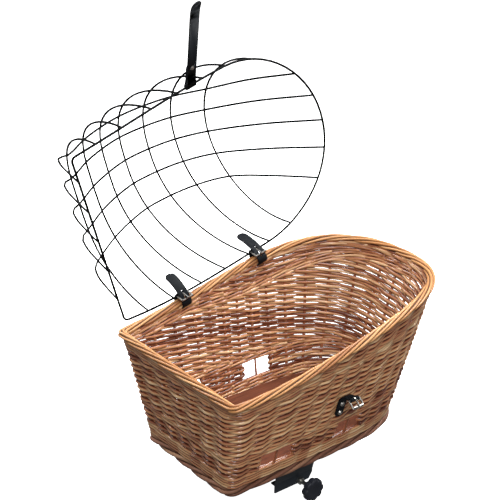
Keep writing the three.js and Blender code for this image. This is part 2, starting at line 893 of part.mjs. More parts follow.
const longWireRows = [-1, -longWireInnerShare, 0, longWireInnerShare, 1];
longWireRows.forEach((row, k) => {
  const angles = hoopFeet.map((_, i) =>
    hoopAngle(i, row * mix(longWireWaistFront, longWireWaistBack, i / (hoopCount - 1))),
  );
  const onHoops = angles.map((angle, i) => hoopPoint(i, angle));
  const frontFoot = new THREE.Vector3(lidFront, row * longWireOuterFront, lidLevel(lidFront));
  const backFoot = framePointAtBack(row * longWireOuterBack);
  const between = (from, to, along, up) =>
    new THREE.Vector3(mix(from.x, to.x, along), mix(from.y, to.y, along), mix(from.z, to.z, up));
  const climb = longWireClimb.map((shares) => between(frontFoot, onHoops[0], ...shares));
  const fall = between(onHoops[hoopCount - 1], backFoot, ...longWireFall);
  const chain = [frontFoot, ...climb, ...onHoops, fall, backFoot];
  const crossings = onHoops.map((point, i) => {
    const here = i + 1 + climb.length;
    const arriving = chain[here].clone().sub(chain[here - 1]).normalize();
    const leaving = chain[here + 1].clone().sub(chain[here]).normalize();
    const across = hoopPoint(i, angles[i] + 0.01).sub(hoopPoint(i, angles[i] - 0.01));
    const inwards = arriving.add(leaving).cross(across).normalize();
    return point.clone().addScaledVector(inwards, (inwards.z > 0 ? -1 : 1) * wireLayer);
  });
  const knots = [
    seatTowards(frontFoot, climb[0]),
    ...climb,
    ...crossings,
    fall,
    seatTowards(backFoot, fall),
  ];
  const points = new THREE.CatmullRomCurve3(knots, false, "centripetal").getSpacedPoints(longWireSteps);
  addPiece(`lid_wire_${k + 1}`, wire(points, domeWire, 6), blackWire, onLid);
});

// A strip of leather drawn in a plane: [y, z] points along its middle, smoothed into steps.
function strip(points, thickness, steps) {
  const curve = new THREE.CatmullRomCurve3(
    points.map(([y, z]) => new THREE.Vector3(y, z, 0)),
    false,
    "centripetal",
  );
  const left = [];
  const right = [];
  for (let i = 0; i <= steps; i++) {
    const point = curve.getPointAt(i / steps);
    const along = curve.getTangentAt(i / steps);
    left.push([point.x - (along.y * thickness) / 2, point.y + (along.x * thickness) / 2]);
    right.push([point.x + (along.y * thickness) / 2, point.y - (along.x * thickness) / 2]);
  }
  return [...left, ...right.reverse()];
}

// Rounds a strap's end: what lies past a half circle of the strap's width is cut away. The
// end is at the origin, and the strap comes from the side of -Y.
function endRounding(width, depth) {
  const steps = 12;
  const arc = Array.from({ length: steps + 1 }, (_, i) => {
    const angle = (Math.PI * i) / steps;
    return [(width / 2) * Math.cos(angle), (width / 2) * (Math.sin(angle) - 1)];
  });
  const outline = [...arc, [-width, -width / 2], [-width, width], [width, width], [width, -width / 2]];
  return slab(outline, depth).translate(0, 0, -depth / 2);
}

function circle(radius, count, y = 0, z = 0) {
  return Array.from({ length: count }, (_, i) => {
    const angle = (2 * Math.PI * i) / count;
    return [y + radius * Math.cos(angle), z + radius * Math.sin(angle)];
  });
}

function rectangle(x0, y0, x1, y1) {
  return [[x0, y0], [x1, y0], [x1, y1], [x0, y1]];
}

// A matrix from a place and the directions of local X, Y and Z.
function placing(origin, x, y, z) {
  return new THREE.Matrix4().makeBasis(x, y, z).setPosition(origin);
}

// Buckles. In a buckle's own frame the hinge bar lies on X, the frame runs along +Y to its
// front bar, and the prong lies over it on the +Z side.
const barRadius = (buckleBar / 2) * Math.SQRT2;
const eyeBore = barRadius + holePlay;
const eyeRadius = eyeBore + eyeLeather;
const frontBar = buckleLength - buckleBar;

function buckleFrame() {
  const bar = buckleBar / 2;
  const side = buckleWidth / 2;
  const outer = rectangle(-side, -bar, side, frontBar + bar);
  const inner = rectangle(-side + buckleBar, bar, side - buckleBar, frontBar - bar);
  return slab(outer, buckleBar, inner).translate(0, 0, -bar);
}

function buckleProng(frontBarRadius) {
  const rise = Math.max(eyeBore, frontBarRadius + touchGap) + prongWire / 2;
  const eye = acrossX(circle(rise, 16), prongWire, 0, circle(eyeBore, 16));
  const shaft = new THREE.BoxGeometry(prongWire, frontBar + buckleBar, prongWire).translate(
    0,
    (frontBar + buckleBar) / 2,
    rise,
  );
  return join(eye, shaft);
}

// The slot that a prong needs in the leather, open from the eye along -Y and +Y.
function prongSlot(behind, before) {
  const width = prongWire + 2 * holePlay;
  return new THREE.BoxGeometry(width, behind + before, 4 * eyeRadius).translate(
    0,
    (before - behind) / 2,
    0,
  );
}

// The frame of a hinge strap: along the hinge axis, outwards and up, from the rim's middle.
function strapFrame(x) {
  const out = new THREE.Vector3(0, 0, 1).cross(hingeAxis).normalize();
  const up = hingeAxis.clone().cross(out);
  const origin = new THREE.Vector3(x, halfWidth(rimPlan, x), rimLevel(x));
  return placing(origin, hingeAxis, out, up);
}

// How far a strap stands off the rim, whose line turns a little under the strap's width.
function strapRimPlay(x) {
  const step = 1;
  const at = (place) => new THREE.Vector3(place, halfWidth(rimPlan, place), rimLevel(place));
  const along = at(x + step).sub(at(x - step)).normalize();
  return touchGap + (strapWidth / 2) * along.cross(hingeAxis).length();
}

// The line round the rim and the frame wire at a distance from the strap's inner face,
// clockwise from the top, seen along the hinge axis.
function strapContour(x, distance) {
  const hinge = new THREE.Vector3(x, halfWidth(lidPlan, x), lidLevel(x));
  const { y: wireY, z: wireZ } = hinge.applyMatrix4(strapFrame(x).invert());
  const rimGap = strapRimPlay(x) + distance;
  const rimOval = circle(1, 32).map(([c, s]) => [
    (rimWidth / 2 + rimGap) * c,
    (rimHeight / 2 + rimGap) * s,
  ]);
  const hull = convexHull([
    ...rimOval,
    ...circle(frameWire / 2 + strapPlay + distance, 24, wireY, wireZ),
  ]);
  const top = hull.reduce((best, point, i) => (point[1] > hull[best][1] ? i : best), 0);
  return [...hull.slice(top + 1), ...hull.slice(0, top + 1)].reverse();
}

function convexHull(points) {
  const sorted = [...points].sort((a, b) => a[0] - b[0] || a[1] - b[1]);
  const bend = (o, a, b) => (a[0] - o[0]) * (b[1] - o[1]) - (a[1] - o[1]) * (b[0] - o[0]);
  const chain = (list) => {
    const kept = [];
    for (const point of list) {
      while (kept.length > 1 && bend(kept.at(-2), kept.at(-1), point) <= 1e-6) kept.pop();
      kept.push(point);
    }
    return kept.slice(0, -1);
  };
  return [...chain(sorted), ...chain(sorted.reverse())];
}

// The slot in the weaving through which a hinge strap goes, just under the rim.
function hingeStrapNotch(x) {
  const depth = rimHeight / 2 + strapRimPlay(x) + leather + touchGap;
  return new THREE.BoxGeometry(strapWidth + 2 * touchGap, 3 * rimWidth, depth)
    .translate(0, 0, -depth / 2)
    .applyMatrix4(strapFrame(x));
}

// A hinge strap comes from its eye over the frame wire, down outside the rim, through the
// weaving and up inside, passes over the eye and ends in a free tail.
hingeStrapX.forEach((x, k) => {
  const end = ["front", "back"][k];
  const contour = strapContour(x, leather / 2);
  const crown = contour[0];
  const eye = [crown[0] - frameWire / 2 - eyeRadius, crown[1] - touchGap];
  const shoulder = contour.findIndex(([y, z]) => y < 0 && z > rimHeight / 4);
  const around = contour.slice(0, shoulder);
  const over = [eye[0], eye[1] + eyeRadius + touchGap + leather / 2];
  const tail = strapTailShares.map((share) => [
    over[0] + strapTailReach[k] * share,
    over[1] + strapTailRise[k] * (1 - (1 - share) * (1 - share)),
  ]);
  const band = acrossX(strip([eye, ...around, over, ...tail], leather, 64), strapWidth, 0);
  const eyeRing = acrossX(circle(eyeRadius, 20, ...eye), strapWidth, 0);
  const eyeHole = acrossX(circle(eyeBore, 20, ...eye), 2 * strapWidth, 0);
  const slope = radians(strapBuckleSlope);
  const buckle = placing(
    new THREE.Vector3(0, ...eye),
    new THREE.Vector3(-1, 0, 0),
    new THREE.Vector3(0, -Math.cos(slope), -Math.sin(slope)),
    new THREE.Vector3(0, -Math.sin(slope), Math.cos(slope)),
  );
  const tip = tail.at(-1);
  const rounding = endRounding(strapWidth, 4 * leather).applyMatrix4(
    placing(
      new THREE.Vector3(0, ...tip),
      new THREE.Vector3(1, 0, 0),
      new THREE.Vector3(0, 1, 0),
      new THREE.Vector3(0, 0, 1),
    ),
  );
  const slot = prongSlot(eyeRadius + touchGap, frontBar + buckleBar + holePlay);
  const strap = cut(join(band, eyeRing), eyeHole, slot.applyMatrix4(buckle), rounding);
  addPiece(`hinge_strap_${end}`, strap.applyMatrix4(strapFrame(x)), blackLeather);
  const place = strapFrame(x).multiply(buckle);
  addPiece(`strap_buckle_${end}`, buckleFrame().applyMatrix4(place), nickel);
  addPiece(`strap_prong_${end}`, buckleProng(barRadius).applyMatrix4(place), nickel);
});

// The wall's outer face at x and z on the near side: along it, up it and out of it.
function nearWallFrame(x, z) {
  const at = (height) => {
    const { x: px, y: py, nx, ny } = wallPoint(placeAt(x, height, -1), height);
    const out = wallThickness / 2;
    return new THREE.Vector3(px + out * nx, py + out * ny, height);
  };
  const up = at(z + 1).sub(at(z)).normalize();
  const along = new THREE.Vector3(1, 0, 0).addScaledVector(up, -up.x).normalize();
  const out = along.clone().cross(up);
  return placing(at(z), along, up, out);
}

function tabScrewHole(z) {
  return roundBar(tabScrewShank + 2 * holePlay, 4 * wallThickness, 12)
    .rotateX(Math.PI / 2)
    .applyMatrix4(nearWallFrame(tabX, z));
}

// The closure's tab is screwed to the wall and bends outwards to the buckle's eye.
const onWall = (z, lift = 0) => {
  const height = 2 * touchGap + leather / 2 + lift;
  const foot = new THREE.Vector3(0, 0, height).applyMatrix4(nearWallFrame(tabX, z));
  return [foot.y, foot.z];
};
const tabTurn = onWall(tabBend);
const tabEye = [tabTurn[0] - tabReach, tabTurn[1] + tabRise];
const tabPath = [
  ...tabFlatShares.map((share) => onWall(mix(tabBottom, tabBend, share))),
  onWall(mix(tabBottom, tabBend, tabLiftShare), tabBendLift),
  ...tabBendShares.map(([out, up]) => [
    mix(tabTurn[0], tabEye[0], out),
    mix(tabTurn[1], tabEye[1], up),
  ]),
  tabEye,
];
const tabSlot = prongSlot(prongSlotLength, eyeRadius + touchGap).applyMatrix4(
  placing(
    new THREE.Vector3(tabX, ...tabEye),
    new THREE.Vector3(-1, 0, 0),
    new THREE.Vector3(0, -1, 0),
    new THREE.Vector3(0, 0, 1),
  ),
);
const tabRounding = endRounding(tabWidth, 6 * leather).applyMatrix4(
  nearWallFrame(tabX, tabBottom).multiply(
    placing(
      new THREE.Vector3(),
      new THREE.Vector3(-1, 0, 0),
      new THREE.Vector3(0, -1, 0),
      new THREE.Vector3(0, 0, 1),
    ),
  ),
);
addPiece(
  "closure_tab",
  cut(
    join(
      acrossX(strip(tabPath, leather, 24), tabWidth, tabX),
      acrossX(circle(eyeRadius, 20, ...tabEye), tabWidth, tabX),
    ),
    acrossX(circle(eyeBore, 20, ...tabEye), 2 * tabWidth, tabX),
    tabSlot,
    tabRounding,
    ...tabScrewHeights.map((z) => tabScrewHole(z)),
  ),
  blackLeather,
);
tabScrewHeights.forEach((z, i) => {
  const headFoot = 3 * touchGap + leather;
  const head = new THREE.CylinderGeometry(
    tabScrewHeadTop / 2,
    tabScrewHead / 2,
    tabScrewHeadHeight,
    20,
  ).rotateX(Math.PI / 2);
  const shank = roundBar(tabScrewShank, tabScrewLength, 12).rotateX(Math.PI / 2);
  const slot = new THREE.BoxGeometry(2 * tabScrewHead, tabScrewSlotWidth, 2 * tabScrewSlotDepth)
    .rotateZ(radians(tabScrewSlotTurn))
    .translate(0, 0, headFoot + tabScrewHeadHeight);
  const screw = cut(
    join(
      head.translate(0, 0, headFoot + tabScrewHeadHeight / 2),
      shank.translate(0, 0, headFoot + touchGap - tabScrewLength / 2),
    ),
    slot,
  );
  const name = ["tab_screw_lower", "tab_screw_upper"][i];
  addPiece(name, screw.applyMatrix4(nearWallFrame(tabX, z)), nickel);
});

// The closure's buckle with its prong and its roller swings on the tab's eye.
const closureSlope = radians(closureBuckleSlope);
const closurePlace = placing(
  new THREE.Vector3(tabX, ...tabEye),
  new THREE.Vector3(-1, 0, 0),
  new THREE.Vector3(0, -Math.cos(closureSlope), -Math.sin(closureSlope)),
  new THREE.Vector3(0, -Math.sin(closureSlope), Math.cos(closureSlope)),
);
const rollerBore = barRadius + touchGap;
const rollerRadius = rollerBore + rollerWall;
const rollerLength = buckleWidth - 2 * buckleBar - 2 * touchGap;
addPiece("closure_buckle", buckleFrame().applyMatrix4(closurePlace), nickel);
addPiece("closure_prong", buckleProng(rollerRadius).applyMatrix4(closurePlace), nickel);
addPiece(
  "closure_roller",
  acrossX(circle(rollerRadius, 16, frontBar), rollerLength, 0, circle(rollerBore, 16, frontBar))
    .applyMatrix4(closurePlace),
  nickel,
);

// The closure's strap is folded round the frame's free side and riveted to itself. It is
// drawn in the plane across the wire: along the strap and to its outer face.
const freeSide = (x) => new THREE.Vector3(x, -halfWidth(lidPlan, x), lidLevel(x));
const freeAlong = freeSide(closureX + 1).sub(freeSide(closureX - 1)).normalize();
const freeOut = freeAlong.clone().cross(new THREE.Vector3(0, 0, 1)).normalize();
const droop = radians(closureDroop);
const strapWay = freeOut.clone().multiplyScalar(Math.cos(droop));
strapWay.addScaledVector(freeAlong.clone().cross(freeOut), Math.sin(droop));
const strapPlace = placing(
  freeSide(closureX),
  freeAlong,
  strapWay,
  freeAlong.clone().cross(strapWay),
);
const foldBore = frameWire / 2 + strapPlay;
const foldRadius = foldBore + leather;
const layer = (leather + touchGap) / 2;
const foldMiddle = foldBore + leather / 2;
const longLayer = [
  [0, foldMiddle],
  [closurePinch / 2, mix(foldMiddle, layer, closurePinchShare)],
  [closurePinch, layer],
  [closureLength / 3, layer],
  [(closureLength * 2) / 3, layer],
  [closureLength * (1 - closureCurlShare), layer + closureCurl * closureCurlStart],
  [closureLength, layer + closureCurl],
];
const shortLayer = [
  [0, -foldMiddle],
  [closurePinch / 2, -mix(foldMiddle, layer, closurePinchShare)],
  [closurePinch, -layer],
  [closureFold / 2, -layer],
  [closureFold, -layer],
];
const rivetHole = roundBar(closureRivetShank + 2 * holePlay, 6 * leather, 12)
  .rotateX(Math.PI / 2)
  .translate(0, closureRivetReach, 0);
const strapTip = endRounding(strapWidth, 8 * leather).translate(0, closureLength, closureCurl);
const flapTip = endRounding(strapWidth, leather).translate(0, closureFold, -layer);
addPiece(
  "closure_strap",
  cut(
    join(
      acrossX(strip(longLayer, leather, 30), strapWidth, 0),
      cut(acrossX(strip(shortLayer, leather, 14), strapWidth, 0), flapTip),
      acrossX(circle(foldRadius, 24), strapWidth, 0),
    ),
    acrossX(circle(foldBore, 24), 2 * strapWidth, 0),
    rivetHole,
    strapTip,
  ).applyMatrix4(strapPlace),
  blackLeather,
  onLid,
);
const rivetHalf = layer + leather / 2 + touchGap;
addPiece(
  "closure_rivet",
  turned(
    [
      [closureRivetHead / 3, -rivetHalf - closureRivetHeadHeight],
      [closureRivetHead / 2, -rivetHalf],
      [closureRivetShank / 2, -rivetHalf],
      [closureRivetShank / 2, rivetHalf],
      [closureRivetHead / 2, rivetHalf],
      [closureRivetHead / 3, rivetHalf + closureRivetHeadHeight],
    ],
    16,
  )
    .rotateX(Math.PI / 2)
    .translate(0, closureRivetReach, 0)
    .applyMatrix4(strapPlace),
  nickel,
  onLid,
);

export default basket;
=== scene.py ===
"""A willow bicycle basket with a wire lid: its woven surfaces, finishes and studio.

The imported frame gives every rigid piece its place. This file weaves the willow round it, cuts
the leather, and gives each piece the finish of the real one. Sizes are millimetres in the
basket's own frame until a mesh is made, and metres after that.
"""

from __future__ import annotations

import logging
import math
from collections.abc import Callable
from dataclasses import dataclass, field, replace
from enum import Enum
from functools import cache

import bmesh
import bpy
import numpy as np
from mathutils import Matrix, Vector


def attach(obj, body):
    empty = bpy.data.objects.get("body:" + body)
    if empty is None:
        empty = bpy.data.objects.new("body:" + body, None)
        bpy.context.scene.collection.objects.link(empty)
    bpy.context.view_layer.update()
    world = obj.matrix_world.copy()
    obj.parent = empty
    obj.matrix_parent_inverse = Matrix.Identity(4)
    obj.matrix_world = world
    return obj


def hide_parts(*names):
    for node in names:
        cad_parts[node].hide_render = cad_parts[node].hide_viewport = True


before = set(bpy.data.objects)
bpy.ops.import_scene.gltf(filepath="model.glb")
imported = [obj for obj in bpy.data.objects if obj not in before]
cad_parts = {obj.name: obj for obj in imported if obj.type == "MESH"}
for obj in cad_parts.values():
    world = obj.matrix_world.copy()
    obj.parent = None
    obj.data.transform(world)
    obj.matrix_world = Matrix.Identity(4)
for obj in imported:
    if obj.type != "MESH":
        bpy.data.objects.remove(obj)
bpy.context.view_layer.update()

MM = 0.001
TURN = 2 * math.pi
# Points of a mesh that lie closer than this are merged, in metres.
MERGE = 0.01 * MM
# A noise texture's values lie mostly between these two.
NOISE_LOW, NOISE_HIGH = 0.3, 0.7
# Two rods' grain lies this far apart along the noise, in metres, so that no two look alike.
GRAIN_SHIFT = 3.7
WHITE = (1.0, 1.0, 1.0, 1.0)
# Points of the frame's own loop on a quarter back, a side, a corner and half of the front.
BACK_STEPS, SIDE_STEPS, CORNER_STEPS, FRONT_STEPS = 16, 9, 4, 4
log = logging.getLogger("basket")

# A height on the wall at each of an array of stake numbers.
Edge = Callable[[np.ndarray], np.ndarray]


class Body(Enum):
    """The frame's bodies that new pieces ride on."""

    BASKET = "root"
    STRAP = "strap"
    SCREW = "screw"


class Slot(Enum):
    """Names of material slots. Each border holds one, which nothing reads."""

    WEAVE = "willow_weave"
    RIM = "willow_rim"
    FOOT = "willow_foot"
    PLASTIC = "black_plastic"
    LEATHER = "black_leather"


def linear(hex_color: str) -> tuple[float, float, float, float]:
    """Turns an sRGB hex value into Blender's linear colour.

    Args:
        hex_color: Six hex digits with a leading #.

    Returns:
        Red, green, blue and an alpha of one.
    """
    parts = [int(hex_color[i : i + 2], 16) / 255 for i in (1, 3, 5)]
    out = [c / 12.92 if c <= 0.04045 else ((c + 0.055) / 1.055) ** 2.4 for c in parts]
    return (*out, 1.0)


def fill(node: bpy.types.Node, sockets: dict) -> None:
    """Sets or links a node's input sockets.

    Args:
        node: The node.
        sockets: Input name or index to a value, or to the output that feeds it.
    """
    for key, value in sockets.items():
        if isinstance(value, bpy.types.NodeSocket):
            node.id_data.links.new(value, node.inputs[key])
        else:
            node.inputs[key].default_value = value


def add_node(tree: bpy.types.NodeTree, kind: str, sockets: dict | None = None,
             ramp: list | None = None, **settings: str) -> bpy.types.Node:
    """Adds a node, sets its properties and fills or links its sockets.

    Args:
        tree: The node tree to add to.
        kind: The node's class name.
        sockets: What goes into its sockets, as fill takes it.
        ramp: Places and hex colours of a colour ramp.
        settings: Properties of the node.

    Returns:
        The new node.
    """
    node = tree.nodes.new(kind)
    for key, value in settings.items():
        setattr(node, key, value)
    if ramp:
        stops = node.color_ramp.elements
        while len(stops) < len(ramp):
            stops.new(0.5)
        for stop, (place, color) in zip(stops, ramp):
            stop.position = place
            stop.color = linear(color)
    fill(node, sockets or {})
    return node


def new_material(name: str) -> tuple[bpy.types.Material, bpy.types.NodeTree, bpy.types.Node]:
    """Makes a node material with one principled shader.

    Args:
        name: The material's name.

    Returns:
        The material, its tree and its shader.
    """
    material = bpy.data.materials.new(name)
    material.use_nodes = True
    return material, material.node_tree, material.node_tree.nodes["Principled BSDF"]


@dataclass(frozen=True)
class Willow:
    """Whole willow rods, boiled brown in their bark or peeled, woven wet and varnished.

    Each rod has its own shade from the piece's tint attribute. Grain runs along the rod on its
    UV map, whose two directions are metres along and around, and the varnish gives a soft gloss.
    """

    name: str
    shades: tuple[str, ...]
    roughness: float
    coat: float = 0.2
    coat_roughness: float = 0.2
    shine: float = 0.5
    # The bark's colour changes over about 45 mm.
    patch_size: float = 45.0
    patch_share: float = 0.3
    # Fibres and streaks of bark are 0.2 to 0.4 mm wide and run for some 60 mm. They are drawn
    # 1.1 mm wide, because finer ones don't show at this distance.
    grain_width: float = 1.1
    grain_length: float = 60.0
    grain_light: tuple[float, float] = (0.74, 1.2)
    grain_relief: float = 0.3
    bump: float = 0.35

    @cache
    def material(self) -> bpy.types.Material:
        """Builds the material, once.

        Returns:
            The material.
        """
        material, tree, shader = new_material(self.name)
        tint = add_node(tree, "ShaderNodeAttribute", attribute_name="tint")
        rod = add_node(tree, "ShaderNodeUVMap", uv_map="rod")
        place = add_node(tree, "ShaderNodeTexCoord")
        patches = add_node(tree, "ShaderNodeTexNoise", {
            "Vector": place.outputs["Object"], "Scale": 1 / (self.patch_size * MM), "Detail": 2.0})
        shift = add_node(tree, "ShaderNodeMath", {
            0: patches.outputs["Fac"], 1: self.patch_share, 2: -self.patch_share / 2},
            operation="MULTIPLY_ADD")
        shade = add_node(tree, "ShaderNodeMath", {
            0: tint.outputs["Fac"], 1: shift.outputs["Value"]}, operation="ADD")
        last = len(self.shades) - 1
        colors = add_node(tree, "ShaderNodeValToRGB", {"Fac": shade.outputs["Value"]},
                          [(i / last, color) for i, color in enumerate(self.shades)])
        stretched = add_node(tree, "ShaderNodeVectorMath", {
            0: rod.outputs["UV"],
            1: (1 / (self.grain_length * MM), 1 / (self.grain_width * MM), 1.0)},
            operation="MULTIPLY")
        grain = add_node(tree, "ShaderNodeTexNoise", {
            "Vector": stretched.outputs["Vector"], "Scale": 1.0, "Detail": 4.0,
            "Roughness": 0.65})
        light = add_node(tree, "ShaderNodeMapRange", {
            "Value": grain.outputs["Fac"], "From Min": NOISE_LOW, "From Max": NOISE_HIGH,
            "To Min": self.grain_light[0], "To Max": self.grain_light[1]})
        dyed = add_node(tree, "ShaderNodeHueSaturation", {
            "Color": colors.outputs["Color"], "Value": light.outputs["Result"]})
        bump = add_node(tree, "ShaderNodeBump", {
            "Height": grain.outputs["Fac"], "Strength": self.bump,
            "Distance": self.grain_relief * MM})
        fill(shader, {
            "Base Color": dyed.outputs["Color"], "Normal": bump.outputs["Normal"],
            "Roughness": self.roughness, "Specular IOR Level": self.shine,
            "Coat Weight": self.coat, "Coat Roughness": self.coat_roughness})
        return material


@dataclass(frozen=True)
class Solid:
    """A plain finish with fine noise in its colour, gloss and relief, on Object coordinates.

    grain is the size of the noise's patches and relief their height, both in millimetres.
    stretch draws the noise out along X, Y or Z, as grain in a board, and cells gives it the
    pebbles of leather.
    """

    name: str
    dark: str
    light: str
    roughness: tuple[float, float]
    grain: float
    relief: float
    metallic: float = 0.0
    shine: float = 0.5
    stretch: tuple[float, float, float] = (1.0, 1.0, 1.0)
    cells: bool = False
    bump: float = 0.6

    @cache
    def material(self) -> bpy.types.Material:
        """Builds the material, once.

        Returns:
            The material.
        """
        material, tree, shader = new_material(self.name)
        place = add_node(tree, "ShaderNodeTexCoord")
        scaled = add_node(tree, "ShaderNodeVectorMath", {
            0: place.outputs["Object"], 1: tuple(s / (self.grain * MM) for s in self.stretch)},
            operation="MULTIPLY")
        noise = add_node(tree, "ShaderNodeTexNoise", {
            "Vector": scaled.outputs["Vector"], "Scale": 1.0, "Detail": 5.0})
        height = noise.outputs["Fac"]
        if self.cells:
            height = add_node(tree, "ShaderNodeTexVoronoi", {
                "Vector": scaled.outputs["Vector"], "Scale": 1.0}).outputs["Distance"]
        colors = add_node(tree, "ShaderNodeValToRGB", {"Fac": noise.outputs["Fac"]},
                          [(NOISE_LOW, self.dark), (NOISE_HIGH, self.light)])
        gloss = add_node(tree, "ShaderNodeMapRange", {
            "Value": noise.outputs["Fac"], "From Min": NOISE_LOW, "From Max": NOISE_HIGH,
            "To Min": self.roughness[0], "To Max": self.roughness[1]})
        bump = add_node(tree, "ShaderNodeBump", {
            "Height": height, "Strength": self.bump, "Distance": self.relief * MM})
        fill(shader, {
            "Base Color": colors.outputs["Color"], "Normal": bump.outputs["Normal"],
            "Roughness": gloss.outputs["Result"], "Specular IOR Level": self.shine,
            "Metallic": self.metallic})
        return material


# Willow boiled in its bark, peeled, woven wet and varnished: warm browns that differ from rod to
# rod, with painted shade in the creases, and a clear gloss along each rod's back.
BROWN_WILLOW = Willow("brown_willow", ("#5c2b18", "#96583a", "#b67d54", "#c8996c", "#deba8e"),
                      roughness=0.5, coat=1.0, shine=0.25)
# Peeled willow without the boiling, laid round the rim: paler and yellower, thinly varnished.
PALE_WILLOW = Willow("pale_willow", ("#85522f", "#a87345", "#bd8a58", "#cd9f70"),
                     roughness=0.5, coat=0.3, shine=0.3, patch_share=0.25)
# Willow with its bark left on, at the foot: dark, dull and hardly varnished.
DARK_WILLOW = Willow("dark_willow", ("#43281f", "#653f30", "#805845", "#a07a5e"),
                     roughness=0.6, coat=0.1, shine=0.25)
# Thin willow shoots with a reddish skin, one in each window: an even red brown.
RED_WILLOW = Willow("red_willow", ("#7a4630", "#96593c", "#a9694a"), roughness=0.5)
# The inside of a border, seen only through its gaps: painted shade, a near black brown without
# a gloss, where the real rods inside lie in shadow.
SHADOWED_WILLOW = Willow("shadowed_willow", ("#3a2114", "#54331f"), roughness=0.8, coat=0.0)
# Birch plywood rolled with red brown stain: matt, its 3 mm grain drawn out along the board.
STAINED_PLYWOOD = Solid("stained_plywood", "#4a271a", "#683a27", (0.6, 0.8), 3.0, 0.08,
                        shine=0.12, stretch=(0.08, 1.0, 1.0))
# Folded sheet steel with a baked powder coat: satin near black with 1 mm orange peel.
POWDER_COATED_STEEL = Solid("powder_coated_steel", "#20252c", "#2a3139", (0.4, 0.5), 1.0, 0.05,
                            shine=0.35)
# Welded steel wire dipped in black plastic: dull, with slow 2 mm waves where the coat ran.
COATED_WIRE = Solid("plastic_coated_wire", "#08090a", "#0f1112", (0.55, 0.65), 2.0, 0.03,
                    shine=0.05)
# Nylon from an eroded mould, whose 0.3 mm grit is drawn at 0.9 mm to show: soft dark grey.
MOULDED_NYLON = Solid("moulded_nylon", "#191b23", "#24262f", (0.5, 0.65), 0.9, 0.06,
                      shine=0.3)
# Bent steel wire, bright nickel plated: a slightly cloudy mirror, with 4 mm clouds.
NICKEL_PLATE = Solid("nickel_plate", "#8d8b86", "#b5b3ae", (0.22, 0.38), 4.0, 0.01,
                     metallic=1.0)
# Zinc plated screws and nuts: paler and duller than nickel, with 3 mm clouds.
ZINC_PLATE = Solid("zinc_plate", "#9a9a96", "#c2c1bc", (0.3, 0.45), 3.0, 0.02, metallic=1.0)
# Cow leather dyed black and pressed with a grain of 1.1 mm pebbles: dull and deep.
BLACK_LEATHER = Solid("grained_leather", "#0a0c0f", "#14181d", (0.55, 0.7), 1.1, 0.12,
                      shine=0.12, cells=True)


@dataclass
class Surface:
    """Points, faces and the two things that a willow finish reads: UVs and tints."""

    points: np.ndarray
    faces: list[np.ndarray]
    uvs: list[np.ndarray]
    tints: np.ndarray

    def outwards(self) -> Surface:
        """Turns the faces round where the volume inside them comes out negative.

        Returns:
            The surface itself.
        """
        volume = 0.0
        for face in self.faces:
            first, *others = (self.points[corner] for corner in face.T)
            for second, third in zip(others, others[1:]):
                volume += np.einsum("ij,ij->", first, np.cross(second, third))
        if volume < 0:
            self.faces = [face[:, ::-1] for face in self.faces]
            self.uvs = [uv[:, ::-1] for uv in self.uvs]
        return self


def joined(surfaces: list[Surface]) -> Surface:
    """Puts several surfaces into one, whose points follow each other."""
    starts = np.cumsum([0] + [len(s.points) for s in surfaces[:-1]])
    return Surface(
        np.concatenate([s.points for s in surfaces]),
        [face + start for s, start in zip(surfaces, starts) for face in s.faces],
        [uv for s in surfaces for uv in s.uvs],
        np.concatenate([s.tints for s in surfaces]),
    )


def unit(vectors: np.ndarray) -> np.ndarray:
    """Scales vectors along the last axis to length one."""
    return vectors / np.maximum(np.linalg.norm(vectors, axis=-1, keepdims=True), 1e-12)


def quads_between(near: np.ndarray, far: np.ndarray) -> np.ndarray:
    """Faces between rings of point numbers and the rings that come after them."""
    return np.stack([near, np.roll(near, -1, -1), np.roll(far, -1, -1), far], -1).reshape(-1, 4)


def rods(paths: np.ndarray, aside: np.ndarray, radii: np.ndarray, tints: np.ndarray,
         sides: int = 7, crease_shade: float = 0.0) -> Surface:
    """Draws round rods along many paths at once.

    A ring of points stands across each path: centre plus radius times the cosine of the angle
    along the aside direction made square to the path, plus the sine along their cross product.

    Args:
        paths: Middle lines, as rods by steps by three, in millimetres.
        aside: Direction from which each ring's angle starts, of the same shape.
        radii: Radius of each ring, as rods by steps.
        tints: One tint for each rod.
        sides: Points in a ring.
        crease_shade: Painted shade in the creases: how much darker a rod is drawn where it lies
        against the next one, on its aside direction and opposite it.

    Returns:
        The rods with flat ends.
    """
    count, steps = paths.shape[:2]
    along = unit(np.gradient(paths, axis=1))
    across = unit(np.cross(along, aside))
    start = np.cross(across, along)
    angle = TURN * np.arange(sides) / sides
    ring = (np.cos(angle)[:, None] * start[..., None, :]
            + np.sin(angle)[:, None] * across[..., None, :])
    points = paths[..., None, :] + radii[..., None, None] * ring
    index = np.arange(count * steps * sides).reshape(count, steps, sides)
    near, far = index[:, :-1], index[:, 1:]
    run = np.linalg.norm(np.diff(paths, axis=1), axis=-1).cumsum(1) * MM
    shift = GRAIN_SHIFT * np.arange(count)[:, None]
    run = np.concatenate([np.zeros((count, 1)), run], 1) + shift
    girth = TURN * radii.mean() * MM * np.arange(sides + 1) / sides
    u0, u1 = (np.broadcast_to(r[:, :, None], near.shape) for r in (run[:, :-1], run[:, 1:]))
    v0, v1 = (np.broadcast_to(g, near.shape) for g in (girth[:-1], girth[1:]))
    uv = np.stack([np.stack(pair, -1) for pair in ((u0, v0), (u0, v1), (u1, v1), (u1, v0))], -2)
    caps = np.concatenate([index[:, 0, ::-1], index[:, -1]])
    cap_uv = np.zeros((len(caps), sides, 2))
    cap_uv[..., 1] = girth[:-1]
    # Painted shade: each ring is drawn darker towards its aside direction and opposite it, where
    # the rod lies in the shade of its neighbours.
    shaded = tints[:, None, None] - crease_shade * np.cos(angle) ** 2 * np.ones((1, steps, 1))
    return Surface(points.reshape(-1, 3), [quads_between(near, far), caps],
                   [uv.reshape(-1, 4, 2), cap_uv], shaded.ravel()).outwards()


